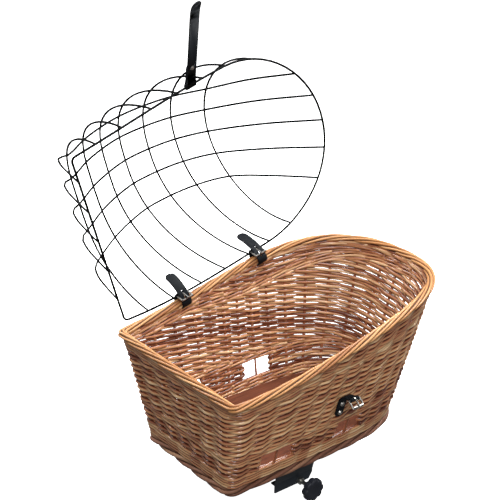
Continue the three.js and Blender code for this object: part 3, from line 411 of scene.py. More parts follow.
def lofted(rings: np.ndarray, closed: bool) -> Surface:
    """Joins rings of points with faces.

    Args:
        rings: Rings by points by three, in millimetres.
        closed: Whether the last ring meets the first, as in a tube that bites its own tail.

    Returns:
        The surface, of a middling tint.
    """
    index = np.arange(rings[..., 0].size).reshape(rings.shape[:2])
    near, far = (index, np.roll(index, -1, 0)) if closed else (index[:-1], index[1:])
    quads = quads_between(near, far)
    uv = np.zeros((len(quads), 4, 2))
    return Surface(rings.reshape(-1, 3), [quads], [uv], np.full(index.size, 0.5)).outwards()


def merged(mesh: bpy.types.Mesh, flat: float | None = None) -> bmesh.types.BMesh:
    """Reads a mesh and merges its doubled points.

    Args:
        mesh: The mesh, which stays as it is.
        flat: Faces that meet at less than this many degrees become one.

    Returns:
        The merged shape, for the caller to write and free.
    """
    shape = bmesh.new()
    shape.from_mesh(mesh)
    bmesh.ops.remove_doubles(shape, verts=shape.verts, dist=MERGE)
    if flat is not None:
        bmesh.ops.dissolve_limit(shape, angle_limit=math.radians(flat), verts=shape.verts,
                                 edges=shape.edges)
    return shape


def add_object(name: str, data: bpy.types.ID) -> bpy.types.Object:
    """Makes an object of a mesh, a light or a camera, and puts it in the scene.

    Args:
        name: The object's name.
        data: What it shows.

    Returns:
        The object.
    """
    thing = bpy.data.objects.new(name, data)
    bpy.context.scene.collection.objects.link(thing)
    return thing


def make_piece(name: str, surface: Surface, finish: Willow | Solid, body: Body,
               nodes: tuple[str, ...] = ()) -> bpy.types.Object:
    """Makes an object from a surface, dresses it and hands it to the frame.

    Args:
        name: The piece's name.
        surface: Its shape in millimetres.
        finish: What it is made of.
        body: The body that it rides on.
        nodes: The frame's nodes that it stands for.

    Returns:
        The object.
    """
    mesh = bpy.data.meshes.new(name)
    mesh.vertices.add(len(surface.points))
    mesh.vertices.foreach_set("co", (surface.points * MM).astype(np.float32).ravel())
    sizes = np.concatenate([np.full(len(f), f.shape[1]) for f in surface.faces])
    mesh.loops.add(int(sizes.sum()))
    mesh.loops.foreach_set("vertex_index", np.concatenate(
        [f.ravel() for f in surface.faces]).astype(np.int32))
    mesh.polygons.add(len(sizes))
    mesh.polygons.foreach_set("loop_start", (np.cumsum(sizes) - sizes).astype(np.int32))
    mesh.polygons.foreach_set("use_smooth", np.ones(len(sizes), bool))
    layer = mesh.uv_layers.new(name="rod")
    layer.data.foreach_set("uv", np.concatenate(
        [uv.ravel() for uv in surface.uvs]).astype(np.float32))
    tint = mesh.attributes.new("tint", "FLOAT", "POINT")
    tint.data.foreach_set("value", surface.tints.astype(np.float32))
    mesh.update(calc_edges=True)
    mesh.validate()
    piece = add_object(name, mesh)
    mesh.materials.append(finish.material())
    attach(piece, body.value)
    if nodes:
        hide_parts(*nodes)
    log.info("%s: %d points on %s", name, len(surface.points), body.value)
    return piece


def dress(finish: Willow | Solid, *nodes: str) -> None:
    """Gives the frame's own nodes a finish.

    Args:
        finish: What they are made of.
        nodes: Their names.
    """
    for name in nodes:
        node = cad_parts[name]
        for place in node.material_slots:
            place.material = finish.material()
        log.info("%s: dressed in %s", name, finish.name)


@dataclass(frozen=True)
class Plan:
    """A D outline: a straight front, a widest place and a back that is a squared ellipse."""

    front: float
    back: float
    widest: float
    front_half: float
    mid_half: float
    roundness: float
    corner: float

    def half_width(self, x: np.ndarray | float) -> np.ndarray:
        """Half the width at x.

        It is a parabola from the widest place to the front, and a squared ellipse to the back:
        the root, of the roundness's order, of one minus the share to the power of the roundness.

        Args:
            x: Places along the basket.

        Returns:
            The half widths there.
        """
        x = np.asarray(x, float)
        left = 1 - (x - self.front) / (self.widest - self.front)
        ahead = self.mid_half + (self.front_half - self.mid_half) * left**2
        share = np.clip((x - self.widest) / (self.back - self.widest), 0, 1)
        behind = self.mid_half * (1 - share**self.roundness) ** (1 / self.roundness)
        return np.where(x <= self.widest, ahead, behind)

    def loop(self, fine: int) -> np.ndarray:
        """Points round the outline, counter-clockwise from the middle of the back.

        Args:
            fine: Steps for each step of the frame's own loop.

        Returns:
            Pairs of x and y.
        """
        power = 2 / self.roundness
        turn = math.pi / 2 * np.linspace(0, 1, BACK_STEPS * fine, endpoint=False)
        back = [self.widest + (self.back - self.widest) * np.cos(turn) ** power,
                self.mid_half * np.sin(turn) ** power]
        corner_x = self.front + self.corner
        corner_half = float(self.half_width(corner_x))
        share = np.linspace(0, 1, SIDE_STEPS * fine, endpoint=False)
        x = self.widest + (corner_x - self.widest) * share
        side = [x, self.half_width(x)]
        turn = math.pi / 2 * np.linspace(0, 1, CORNER_STEPS * fine, endpoint=False)
        corner = [corner_x - self.corner * np.sin(turn),
                  corner_half - self.corner * (1 - np.cos(turn))]
        y = (corner_half - self.corner) * np.linspace(1, 0, FRONT_STEPS * fine + 1)
        front = [np.full(len(y), self.front), y]
        half = np.concatenate([back, side, corner, front], 1).T
        return np.concatenate([half, half[1:-1][::-1] * [1, -1]])


def outward_directions(loop: np.ndarray) -> np.ndarray:
    """Horizontal directions square to a closed loop of x and y, pointing out of it."""
    chord = unit(np.roll(loop, -1, 0) - np.roll(loop, 1, 0))
    return np.stack([chord[:, 1], -chord[:, 0]], -1)


def round_loop(u: np.ndarray, values: np.ndarray) -> np.ndarray:
    """Reads values between the points of a closed loop.

    Args:
        u: Places on the loop, which count its points.
        values: One value for each point.

    Returns:
        The values at the places.
    """
    total = len(values)
    return np.interp(u % total, np.arange(total + 1), np.append(values, values[0]))


def smooth_step(share: np.ndarray | float) -> np.ndarray:
    """Three times the share squared minus twice its cube, from nought to one."""
    share = np.clip(share, 0, 1)
    return share * share * (3 - 2 * share)


@dataclass
class WallForm:
    """The basket's wall: a straight-drawn surface from the foot border up to the rim.

    A place on it is a stake number, which counts round from the back's middle, and a height.
    """

    base: Plan = Plan(front=-177, back=267, widest=45, front_half=123.5, mid_half=125.5,
                      roundness=3.2, corner=20)
    rim: Plan = Plan(front=-204, back=344, widest=70, front_half=169, mid_half=182,
                     roundness=2.5, corner=24)
    foot_z: float = 3.0
    inset: float = 7.0
    front_top: float = 213.0
    back_top: float = 293.0
    rise_start: float = -214.0
    rise_end: float = 300.0
    side_stakes: tuple[float, ...] = (126, 89.3, 52.5, 22.3, -7.8, -38, -80.2, -122.5)
    back_intervals: int = 6
    front_intervals: int = 10
    stake_level: float = 60.0
    fine: int = 6
    foot_loop: np.ndarray = field(init=False)
    rim_loop: np.ndarray = field(init=False)
    rim_out: np.ndarray = field(init=False)
    stakes: np.ndarray = field(init=False)

    def __post_init__(self) -> None:
        """Works out the loops and where the stakes stand on them."""
        base = self.base.loop(self.fine)
        self.foot_loop = base - self.inset * outward_directions(base)
        self.rim_loop = self.rim.loop(self.fine)
        self.rim_out = outward_directions(self.rim_loop)
        total = len(self.rim_loop)
        half = total // 2
        u = np.arange(half + 1, dtype=float)
        line, _ = self.at_place(u, np.full(half + 1, self.stake_level))
        run = np.concatenate([[0], np.linalg.norm(np.diff(line, axis=0), axis=1).cumsum()])
        side = np.interp(-np.array(self.side_stakes), -line[:, 0], u)
        first, last = np.interp(side[[0, -1]], u, run)
        back = np.interp(np.linspace(0, first, self.back_intervals, endpoint=False), run, u)
        steps = self.front_intervals
        front = np.interp(np.linspace(last, run[-1], steps // 2 + 1)[1:], run, u)
        far = np.concatenate([back, side, front])
        self.stakes = np.concatenate([far, total - far[1:-1][::-1]])

    @property
    def count(self) -> int:
        """How many stakes stand round the basket."""
        return len(self.stakes)

    def rim_level(self, x: np.ndarray) -> np.ndarray:
        """Height of the rim's middle line at x, which rises in an S."""
        share = (x - self.rise_start) / (self.rise_end - self.rise_start)
        return self.foot_z + self.front_top + (self.back_top - self.front_top) * smooth_step(share)

    def at_place(self, u: np.ndarray, z: np.ndarray) -> tuple[np.ndarray, np.ndarray]:
        """The wall's middle surface: straight lines from the foot's loop to the rim's.

        Args:
            u: Places on the loops.
            z: Heights.

        Returns:
            Points, and unit directions out of the wall.
        """
        rim, foot, out = (np.stack([round_loop(u, column) for column in loop.T], -1)
                          for loop in (self.rim_loop, self.foot_loop, self.rim_out))
        height = self.rim_level(rim[..., 0]) - self.foot_z
        rise = ((z - self.foot_z) / height)[..., None]
        flat = foot + (rim - foot) * rise
        flare = np.sum((rim - foot) * out, -1) / height
        points = np.concatenate([flat, z[..., None]], -1)
        normal = unit(np.concatenate([out, -flare[..., None]], -1))
        return points, normal

    def place(self, stake: np.ndarray) -> np.ndarray:
        """The loop place of a stake number, which may lie between two stakes."""
        return np.interp(stake % self.count, np.arange(self.count + 1),
                         np.append(self.stakes, len(self.rim_loop)))

    def at(self, stake: np.ndarray, z: np.ndarray) -> tuple[np.ndarray, np.ndarray]:
        """The wall's middle surface at a stake number and height, as at_place gives it."""
        return self.at_place(self.place(stake), z)

    def rim_x(self, stake: np.ndarray) -> np.ndarray:
        """The x of the rim over a stake number."""
        return round_loop(self.place(stake), self.rim_loop[:, 0])


@dataclass
class Weaving:
    """All of the woven wall: the randing, the windows' panels, the heavy bands and stakes."""

    wall: WallForm
    sill: float = 47.3
    head: float = 79.6
    rib: float = 13.0
    foot_top: float = 21.3
    rod: float = 7.2
    layer: float = 5.4
    bulge: float = 3.4
    squeeze: float = 0.26
    bend: float = 0.99
    # Painted shade: how much darker a rod is drawn in its creases, where its neighbours shade
    # it, and how much lighter all over to make up for it.
    crease_shade: float = 0.85
    crease_shade_lift: float = 0.3
    # How a rod wanders up and down: millimetres, and radians for each stake.
    wander: tuple[float, float] = (0.45, 1.3)
    # Shares of a layer that rods keep off the lower and the upper edge.
    packing: tuple[float, float] = (0.3, 0.4)
    # Layers that a rod climbs on after it has met the upper edge.
    overrun: float = 1.7
    wale_rod: float = 5.7
    wale_pitch: float = 6.4
    wale_bulge: float = 0.8
    wale_slant: float = 1.3
    stake_rod: float = 6.4
    stake_taper: float = 0.12
    stake_root: float = 12.0
    window_rod: float = 5.0
    rim_half: float = 10.0
    # Share of the topmost heavy row that shows under the rim border.
    top_row_seen: float = 0.3
    rib_over: float = 9.0
    rib_under: float = 21.0
    rib_start: float = 40.0
    rib_end: float = 370.0
    # Where the leather tab presses on the near wall: x, height and how far up and down it
    # reaches, its breadth as a share of that, and the share of the bulge that it takes away.
    tab_place: tuple[float, float, float] = (51.0, 131.0, 34.0)
    tab_breadth: float = 0.55
    tab_hold: float = 0.55
    # Stake numbers: in the windows, at the ends of the panels, and over the raised back.
    windows: tuple[tuple[str, int], ...] = (
        ("far_back", 7), ("far_front", 12), ("near_front", 24), ("near_back", 29))
    panels: tuple[tuple[str, int, int], ...] = (
        ("far", 8, 11), ("front", 13, 23), ("near", 25, 28), ("back", 30, 42))
    raised_stakes: tuple[float, float] = (24.0, 48.0)
    steps: int = 10
    seed: int = 7
    chance: np.random.Generator = field(init=False)

    def __post_init__(self) -> None:
        """Seeds the small differences between rods."""
        self.chance = np.random.default_rng(self.seed)

    def level(self, z: float) -> Edge:
        """An edge that is level all round."""
        return lambda stake: np.full_like(stake, z)

    def rim_edge(self, stake: np.ndarray) -> np.ndarray:
        """Underside of the rim border at stake numbers."""
        return self.wall.rim_level(self.wall.rim_x(stake)) - self.rim_half

    def top_band_edge(self, stake: np.ndarray) -> np.ndarray:
        """Foot of the single heavy row that the rim border hides in part."""
        return self.rim_edge(stake) - self.top_row_seen * self.wale_pitch

    def rib_top_edge(self, stake: np.ndarray) -> np.ndarray:
        """Top of the raised back's heavy band, which rises in an S and is kept under the rim.

        Args:
            stake: Stake numbers.

        Returns:
            Heights.
        """
        rise = (self.wall.rim_x(stake) - self.rib_start) / (self.rib_end - self.rib_start)
        low = self.wall.front_top + self.rib_over
        high = self.wall.back_top - self.rib_under
        line = self.wall.foot_z + low + (high - low) * smooth_step(rise)
        return np.minimum(line, self.rim_edge(stake))

    def rib_bottom_edge(self, stake: np.ndarray) -> np.ndarray:
        """Foot of the raised back's heavy band at stake numbers."""
        return self.rib_top_edge(stake) - self.rib

    def fold(self, phase: np.ndarray) -> np.ndarray:
        """A triangle wave of period two with rounded peaks: straight flanks from stake to
        stake and a tight bend over each, as the arc sine of a flattened cosine."""
        return np.arcsin(self.bend * np.cos(math.pi * phase)) / math.asin(self.bend)

    def pressed(self, points: np.ndarray) -> np.ndarray:
        """How far the weave bulges: less where the leather tab is screwed to the near wall.

        The tab's hold is full to half its reach and gone at one and a half times its reach.

        Args:
            points: Points of the wall.

        Returns:
            The bulge at each, in millimetres.
        """
        x, z, reach = self.tab_place
        far = np.hypot((points[..., 0] - x) / self.tab_breadth, points[..., 2] - z) / reach
        hold = np.where(points[..., 1] < 0, 1 - smooth_step(far - 0.5), 0)
        return self.bulge * (1 - self.tab_hold * hold)

    def laid(self, stake: np.ndarray, z: np.ndarray, wave: np.ndarray, diameter: float,
             squeeze: float = 0.0, middle: float = 0.5, spread: float = 0.22) -> Surface:
        """Rods on the wall, moved out of its middle surface by a wave.

        Args:
            stake: Stake numbers, as rods by steps.
            z: Heights, of the same shape.
            wave: Where each point is, from -1 inside to 1 outside.
            diameter: The usual diameter, from which each rod's differs by up to a tenth.
            squeeze: Share of its thickness that a rod loses where it crosses the wall.
            middle: The usual tint.
            spread: How far tints lie from it.

        Returns:
            The rods.
        """
        points, normal = self.wall.at(stake, z)
        points = points + (self.pressed(points) * wave)[..., None] * normal
        up = np.broadcast_to([0.0, 0.0, 1.0], points.shape)
        thickness = diameter * self.chance.uniform(0.9, 1.1, len(stake))
        radii = thickness[:, None] / 2 * (1 - squeeze * (1 - np.minimum(np.abs(wave), 1)))
        # Each rod is lifted all over to make up for the painted shade in its creases.
        tints = self.shades(len(stake), middle, spread) + self.crease_shade_lift * self.crease_shade
        return rods(points, up, radii, tints, crease_shade=self.crease_shade)

    def shades(self, count: int, middle: float, spread: float) -> np.ndarray:
        """Random tints for rods, most of them near the middle."""
        return np.clip(self.chance.normal(middle, spread, count), 0, 1)

    def randing(self, starts: np.ndarray, bottom: Edge, top: Edge) -> Surface:
        """Weaving in which a rod starts at each stake and climbs a layer at every stake.

        At stake number s the rod that started at j is out of the wall where s minus j is even
        and inside it where odd, so all stakes look alike. Each rod lies on the lower edge for
        its first stake, is packed under the upper edge where it meets it, and ends an overrun
        later.

        Args:
            starts: The stake numbers at which rods start.
            bottom: Height of the lower edge at a stake number.
            top: Height of the upper edge at a stake number.

        Returns:
            The rods.
        """
        longest, tick = 48, 0.05
        scan = np.arange(0, longest, tick)
        stake = starts[:, None] + scan
        over = bottom(stake) + self.layer * (scan - self.overrun) > top(stake)
        counts = (scan[np.argmax(over, 1)] * self.steps).astype(int)
        out = []
        for steps in np.unique(counts[counts > self.steps]):
            group = starts[counts == steps]
            climb = np.arange(-self.steps, steps + 1) / self.steps
            stake = group[:, None] + climb
            phase = self.chance.uniform(0, TURN, (len(group), 1))
            sway, pace = self.wander
            z = bottom(stake) + self.layer * (climb + 0.5) + sway * np.sin(pace * stake + phase)
            below, above = self.packing
            z = np.clip(z, bottom(stake) + below * self.layer, top(stake) - above * self.layer)
            wave = np.broadcast_to(self.fold(climb), stake.shape)
            out.append(self.laid(stake, z, wave, self.rod, self.squeeze))
        return joined(out)

    def panel(self, first: int, last: int) -> Surface:
        """Plain weaving between two windows, whose rod turns back round the end stakes.

        Args:
            first: Stake number at one end.
            last: Stake number at the other end.

        Returns:
            The panel's rods, one after the other on the same way.
        """
        layers, fewest, reach = 6, 4, 10
        turn_back, turn_out = 0.6, 0.1
        sway, pace = 0.25, 2.1
        pitch = (self.head - self.sill) / layers
        span = last - first
        lap = span + turn_back
        pieces = max(fewest, layers * span // reach)
        steps = int(layers * lap * self.steps / pieces)
        run = np.linspace(0, layers * lap - turn_back, pieces + 1)
        run = run[:-1, None] + (run[1] - run[0]) * np.linspace(0, 1, steps)
        layer = np.floor(run / lap)
        rest = run - layer * lap
        turning = np.clip((rest - span) / turn_back, 0, 1) * math.pi
        way = 1 - 2 * (layer % 2)
        along = np.minimum(rest, span)
        place = np.where(way > 0, along, span - along)
        wave = self.fold(place + layer)
        stake = first + place + way * turn_out * np.sin(turning)
        z = self.sill + pitch * (layer + 0.5 + smooth_step(turning / math.pi))
        wave = np.where(turning > 0, wave * np.cos(turning), wave)
        z = z + sway * np.sin(pace * stake + layer)
        return self.laid(stake, z, wave, self.rod, self.squeeze, middle=0.45)

    def waling(self, first: float, last: float, rows: int, bottom: Edge) -> Surface:
        """A heavy band: three rods at once, each in front of two stakes and behind one.

        Args:
            first: Stake number at which the band starts.
            last: Stake number at which it ends.
            rows: How many rows of three rods lie over each other.
            bottom: Height of the lower edge at a stake number.

        Returns:
            The band's rods.
        """
        reach, tail, spacing, stroke = 6, 0.3, 2.0, 3
        starts, row = np.meshgrid(np.arange(first, last, spacing), np.arange(rows))
        starts, row = starts.ravel() + (row.ravel() % 2), row.ravel()
        trip = np.linspace(-tail, reach + tail, reach * 7)
        stake = starts[:, None] + trip
        if last - first < self.wall.count:
            stake = np.clip(stake, first, last)
        share = (trip / stroke) % 1
        middle, swing, crest = 0.16, 0.86, 0.27
        wave = middle + swing * np.cos(TURN * (share - crest))
        slant = np.interp(share, [0, 0.67, 1], self.wale_slant * np.array([-1, 1, -1]))
        tuck, fade = 0.7, 0.2
        ends = np.interp(trip, [trip[0], fade, reach - fade, trip[-1]], [-tuck, 0, 0, -tuck])
        z = bottom(stake) + self.wale_pitch * (row[:, None] + 0.5) + slant
        wave = np.broadcast_to(self.wale_bulge * (wave + ends), stake.shape)
        return self.laid(stake, z, wave, self.wale_rod, middle=0.58, spread=0.2)

    def upright(self, numbers: np.ndarray, low: np.ndarray, high: np.ndarray,
                diameter: float, tint: float) -> Surface:
        """Stakes, which stand in the middle of the wall and taper a little upwards.

        Args:
            numbers: Their stake numbers.
            low: Height of each one's foot.
            high: Height of each one's tip.
            diameter: Diameter at the foot.
            tint: Their usual tint.

        Returns:
            The stakes.
        """
        share = np.linspace(0, 1, 9)
        z = low[:, None] + (high - low)[:, None] * share
        stake = np.broadcast_to(numbers[:, None].astype(float), z.shape)
        points, normal = self.wall.at(stake, z)
        radii = diameter / 2 * (1 - self.stake_taper * share) * np.ones((len(numbers), 1))
        tints = self.shades(len(numbers), tint, spread=0.1)
        return rods(points, normal, radii, tints, sides=10)

    def wall_piece(self, name: str, surface: Surface, *nodes: str,
                   finish: Willow = BROWN_WILLOW) -> None:
        """Makes a woven piece of the basket, which stands for some of the frame's nodes."""
        make_piece(name, surface, finish, Body.BASKET, nodes)

    def build(self) -> None:
        """Makes the wall's pieces."""
        count = self.wall.count
        around = np.arange(count, dtype=float)
        main = self.randing(around, self.level(self.head + self.rib), self.rib_bottom_edge)
        self.wall_piece("main_weave_rods", main, "main_weave")
        raised = self.randing(np.arange(*self.raised_stakes), self.rib_top_edge, self.rim_edge)
        top_band = self.waling(0, count, 1, self.top_band_edge)
        self.wall_piece("back_weave_rods", joined([raised, top_band]), "back_weave")
        for name, first, last in self.panels:
            node = f"window_weave_{name}"
            self.wall_piece(f"{node}_rods", self.panel(first, last), node)
        for node, rows, bottom in (("lower_rib", 4, self.level(self.foot_top + 0.5)),
                                   ("window_rib", 2, self.level(self.head)),
                                   ("back_rib", 2, self.rib_bottom_edge)):
            self.wall_piece(f"{node}_rods", self.waling(0, count, rows, bottom), node)
        over_window, beside_stub, into_rim = 8, 2, 6
        for name, number in self.windows:
            node = f"window_stake_{name}"
            stake = self.upright(np.array([number]), np.array([self.sill - self.stake_root]),
                                 np.array([self.head + over_window]), self.window_rod, 0.5)
            self.wall_piece(f"{node}_rod", stake, node, finish=RED_WILLOW)
        numbers = np.arange(count)
        cut = np.isin(numbers, [number for _, number in self.windows])
        low = np.where(cut, self.head + beside_stub, self.foot_top - self.stake_root)
        high = self.rim_edge(numbers.astype(float)) + into_rim
        self.wall_piece("wall_stakes", self.upright(numbers, low, high, self.stake_rod, tint=0.3))


@dataclass
class Border:
    """A border laid round the basket: rods that lean over, one from each place, and tuck in.

    Each rod goes slowly round an oval section, from the start to the end angle in degrees,
    while it runs along the border for a span of stakes.
    """

    wall: WallForm
    name: str
    finish: Willow
    slot: Slot
    half_width: float
    half_height: float
    rod: float
    rods: int
    span: float
    start: float
    end: float
    seed: int
    # How rods differ: in turn as radians, in diameter as shares, and in tint.
    turn_spread: float = 0.05
    thin: float = 0.92
    thick: float = 1.1
    tint_spread: float = 0.22
    # Shares of a rod's run, and how far out of the middle line it lies at each of them.
    tuck: tuple[tuple[float, ...], ...] = ((0, 0.06, 0.95, 1), (0.45, 1, 1, 0.5))
    # How deep under the rods' outside the sheet of painted shade lies, in rods.
    painted_shade_core_depth: float = 0.6

    def middle(self, stake: np.ndarray) -> tuple[np.ndarray, np.ndarray]:
        """Middle line of the border and its outward direction at stake numbers."""
        raise NotImplementedError

    def build(self) -> None:
        """Makes the border's rods and, under them, a closed sheet of painted shade that shows
        through their gaps.
        """
        chance = np.random.default_rng(self.seed)
        steps_a_stake, sides = 7, 8
        share = np.linspace(0, 1, int(self.span * steps_a_stake))
        first = np.arange(self.rods) * self.wall.count / self.rods
        stake = first[:, None] + self.span * share
        centre, out = self.middle(stake)
        angle = np.radians(self.start + (self.end - self.start) * share)
        angle = angle + chance.normal(0, self.turn_spread, (self.rods, 1))
        way_out = np.interp(share, *self.tuck)
        diameter = self.rod * chance.uniform(self.thin, self.thick, self.rods)
        reach = (self.half_width - self.rod / 2) * way_out
        rise = (self.half_height - self.rod / 2) * way_out
        up = np.array([0.0, 0.0, 1.0])
        points = (centre + (reach * np.cos(angle))[..., None] * out
                  + (rise * np.sin(angle))[..., None] * up)
        facing = np.cos(angle)[..., None] * out + np.sin(angle)[..., None] * up
        radii = np.broadcast_to(diameter[:, None] / 2, stake.shape)
        tints = np.clip(chance.normal(0.5, self.tint_spread, self.rods), 0, 1)
        aside = np.cross(unit(np.gradient(points, axis=1)), facing)
        make_piece(f"{self.name}_rods", rods(points, aside, radii, tints, sides), self.finish,
                   Body.BASKET, (self.name,))
        # A near black tube under the rods: painted shade that fills the gaps between them.
        sections, corners = 200, 12
        ring = np.linspace(0, self.wall.count, sections, endpoint=False)
        centre, out = self.middle(ring)
        turn = TURN * np.arange(corners) / corners
        depth = self.painted_shade_core_depth * self.rod
        painted_shade_core = (centre[:, None] + (self.half_width - depth) * np.cos(turn)[:, None] * out[:, None]
                + (self.half_height - depth) * np.sin(turn)[:, None] * up)
        make_piece(f"{self.name}_core", lofted(painted_shade_core, closed=True), SHADOWED_WILLOW,
                   Body.BASKET)


@dataclass
class RimBorder(Border):
    """The light border that closes the wall's top. Its corners are tighter than the wall's."""

    corner: float = 13.0
    drop: float = 2.2

    def middle(self, stake: np.ndarray) -> tuple[np.ndarray, np.ndarray]:
        """The rim's middle line: the wall's surface at the rim's own height.

        Args:
            stake: Stake numbers.

        Returns:
            Points, and outward directions.
        """
        level = self.wall.rim_level(self.wall.rim_x(stake))
        points, normal = self.wall.at(stake, level)
        loop = replace(self.wall.rim, corner=self.corner).loop(self.wall.fine)
        for i in (0, 1):
            points[..., i] = round_loop(self.wall.place(stake), loop[:, i])
        points[..., 2] -= self.drop
        return points, unit(normal * [1, 1, 0])


@dataclass
class FootBorder(Border):
    """The dark border on which the basket stands."""

    base: float = 12.0
    proud: float = 2.5

    def middle(self, stake: np.ndarray) -> tuple[np.ndarray, np.ndarray]:
        """The foot's middle line: the wall's foot loop at the middle of the border's height.

        Args:
            stake: Stake numbers.

        Returns:
            Points, and outward directions.
        """
        points, normal = self.wall.at(stake, np.full_like(stake, self.wall.foot_z))
        out = unit(normal * [1, 1, 0])
        points = points + self.proud * out
        points[..., 2] = self.base
        return points, out


@dataclass
class Fittings:
    """Leather, metal and board: the frame's own pieces with their finishes.

    The sizes are those of a cut edge's rounding and of the coats on the lid's wires.
    """

    leather: tuple[tuple[str, Body], ...] = (
        ("hinge_strap_front", Body.BASKET),
        ("hinge_strap_back", Body.BASKET),
        ("closure_tab", Body.BASKET),
        ("closure_strap", Body.STRAP),
    )
    edge: float = 0.7
    edge_angle: float = 50.0
    flat_angle: float = 0.6
    frame_coat: float = 0.2
    dome_coat: float = 0.7

    def coat_wire(self, thickness: float, *nodes: str) -> None:
        """Dresses wires and lays their plastic coat over them.

        Args:
            thickness: The coat's thickness in millimetres.
            nodes: The wires' nodes.
        """
        dress(COATED_WIRE, *nodes)
        for name in nodes:
            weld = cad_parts[name].modifiers.new("weld", "WELD")
            weld.merge_threshold = MERGE
            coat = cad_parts[name].modifiers.new("coat", "DISPLACE")
            coat.strength = thickness * MM
            coat.mid_level = 0.0

    def cut_leather(self, node: str, body: Body) -> None:
        """Rounds the cut edges of a strap: the frame's solid merged, with a bevelled edge.

        Args:
            node: The strap's node.
            body: The body that it rides on.
        """
        shape = merged(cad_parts[node].data, self.flat_angle)
        mesh = bpy.data.meshes.new(f"{node}_leather")
        shape.to_mesh(mesh)
        shape.free()
        piece = add_object(f"{node}_leather", mesh)
        mesh.materials.clear()
        mesh.materials.append(BLACK_LEATHER.material())
        mesh.polygons.foreach_set("use_smooth", np.ones(len(mesh.polygons), bool))
        bevel = piece.modifiers.new("edge", "BEVEL")
        bevel.width = self.edge * MM
        bevel.segments = 2
        bevel.limit_method = "ANGLE"
        bevel.angle_limit = math.radians(self.edge_angle)
        bevel.harden_normals = True
        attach(piece, body.value)
        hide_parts(node)
        log.info("%s: leather on %s", node, body.value)

    def build(self) -> None:
        """Makes the leather and dresses what stays as the frame has it."""
        for node, body in self.leather:
            self.cut_leather(node, body)
        dress(STAINED_PLYWOOD, "base_board", "clamp_block")
        dress(POWDER_COATED_STEEL, "rack_bracket", "clamp_jaw",
              *(f"bracket_bolt_{i}" for i in (1, 2, 3, 4)))
        self.coat_wire(self.frame_coat, "lid_frame")
        self.coat_wire(self.dome_coat, *(f"lid_hoop_{i}" for i in range(1, 8)),
                       *(f"lid_wire_{i}" for i in range(1, 6)))
        dress(NICKEL_PLATE, "strap_buckle_front", "strap_buckle_back", "strap_prong_front",
              "strap_prong_back", "closure_buckle", "closure_prong", "closure_roller",
              "closure_rivet", "tab_screw_lower", "tab_screw_upper")
        dress(ZINC_PLATE, "weld_nut", "clamp_screw",
              *(f"bracket_nut_{i}" for i in (1, 2, 3, 4)))


@dataclass
class StarKnob:
    """The clamp's moulded knob: a lobed disc with rounded edges, a shallow dish and a hub."""

    place: tuple[float, float, float] = (13.0, -140.0, -48.5)
    radius: float = 22.3
    lobes: int = 8
    lobe_depth: float = 3.4
    thickness: float = 14.0
    rounding: float = 3.2
    dish: float = 1.6
    hub_radius: float = 10.0
    hub_length: float = 6.0
    hub_edge: float = 1.0
    bore: float = 4.3
    bore_depth: float = 10.0
    around: int = 96

    def profile(self) -> np.ndarray:
        """The knob's section, from the middle of the dish over the rounded front edge, a quarter
        circle, down the flank and over the back edge to the hub and into the bore.

        Returns:
            Pairs of radius and depth behind the outer face.
        """
        turn = np.linspace(0, math.pi / 2, 5)
        edge = self.radius - self.rounding
        front = np.stack([edge + self.rounding * np.sin(turn),
                          self.rounding * (1 - np.cos(turn))], -1)
        rear = front[::-1] * [1, -1] + [0, self.thickness]
        middle = [(0.0, self.dish), (5.0, self.dish), (9.0, 0.8 * self.dish), (13.0, 0.0)]
        end = self.thickness + self.hub_length
        hub = [(self.hub_radius + self.hub_edge, self.thickness),
               (self.hub_radius, self.thickness + self.hub_edge),
               (self.hub_radius, end - self.hub_edge), (self.hub_radius - self.hub_edge, end),
               (self.bore, end), (self.bore, end - self.bore_depth),
               (0.0, end - self.bore_depth)]
        return np.concatenate([middle, front, rear, hub])

    def build(self) -> None:
        """Makes the knob.

        Each ring's radius is the profile's, less a rounded scallop between the lobes: one minus
        the lobes' cosine to a power. The scallop grows from beside the hub, with the square of
        the way out.
        """
        profile = self.profile()
        turn = TURN * np.arange(self.around) / self.around
        roundness, gap, way_out = 0.7, 2, 8
        scallop = self.lobe_depth * (1 - np.abs(np.cos(self.lobes * turn / 2)) ** roundness)
        share = np.clip((profile[:, :1] - self.hub_radius - gap) / way_out, 0, 1) ** 2
        radius = profile[:, :1] - scallop * share
        x, y, z = self.place
        points = np.stack([x + radius * np.cos(turn), y + profile[:, 1:] * np.ones_like(radius),
                           z + radius * np.sin(turn)], -1)
        knob = make_piece("clamp_star_knob", lofted(points, closed=False), MOULDED_NYLON,
                          Body.SCREW, ("star_knob",))
        shape = merged(knob.data)
        shape.to_mesh(knob.data)
        shape.free()


@dataclass(frozen=True)
class Softbox:
    """A square soft light: its place and side in metres, and its power in watts."""

    name: str
    place: tuple[float, float, float]
    size: float
    watts: float

    def hang(self, aim: tuple[float, float, float]) -> None:
        """Hangs the light, facing a place.

        Args:
            aim: That place, in metres.
        """
        light = bpy.data.lights.new(self.name, "AREA")
        light.size = self.size
        light.energy = self.watts
        lamp = add_object(self.name, light)
        lamp.location = self.place
        way = Vector(aim) - Vector(self.place)
        lamp.rotation_euler = way.to_track_quat("-Z", "Y").to_euler()


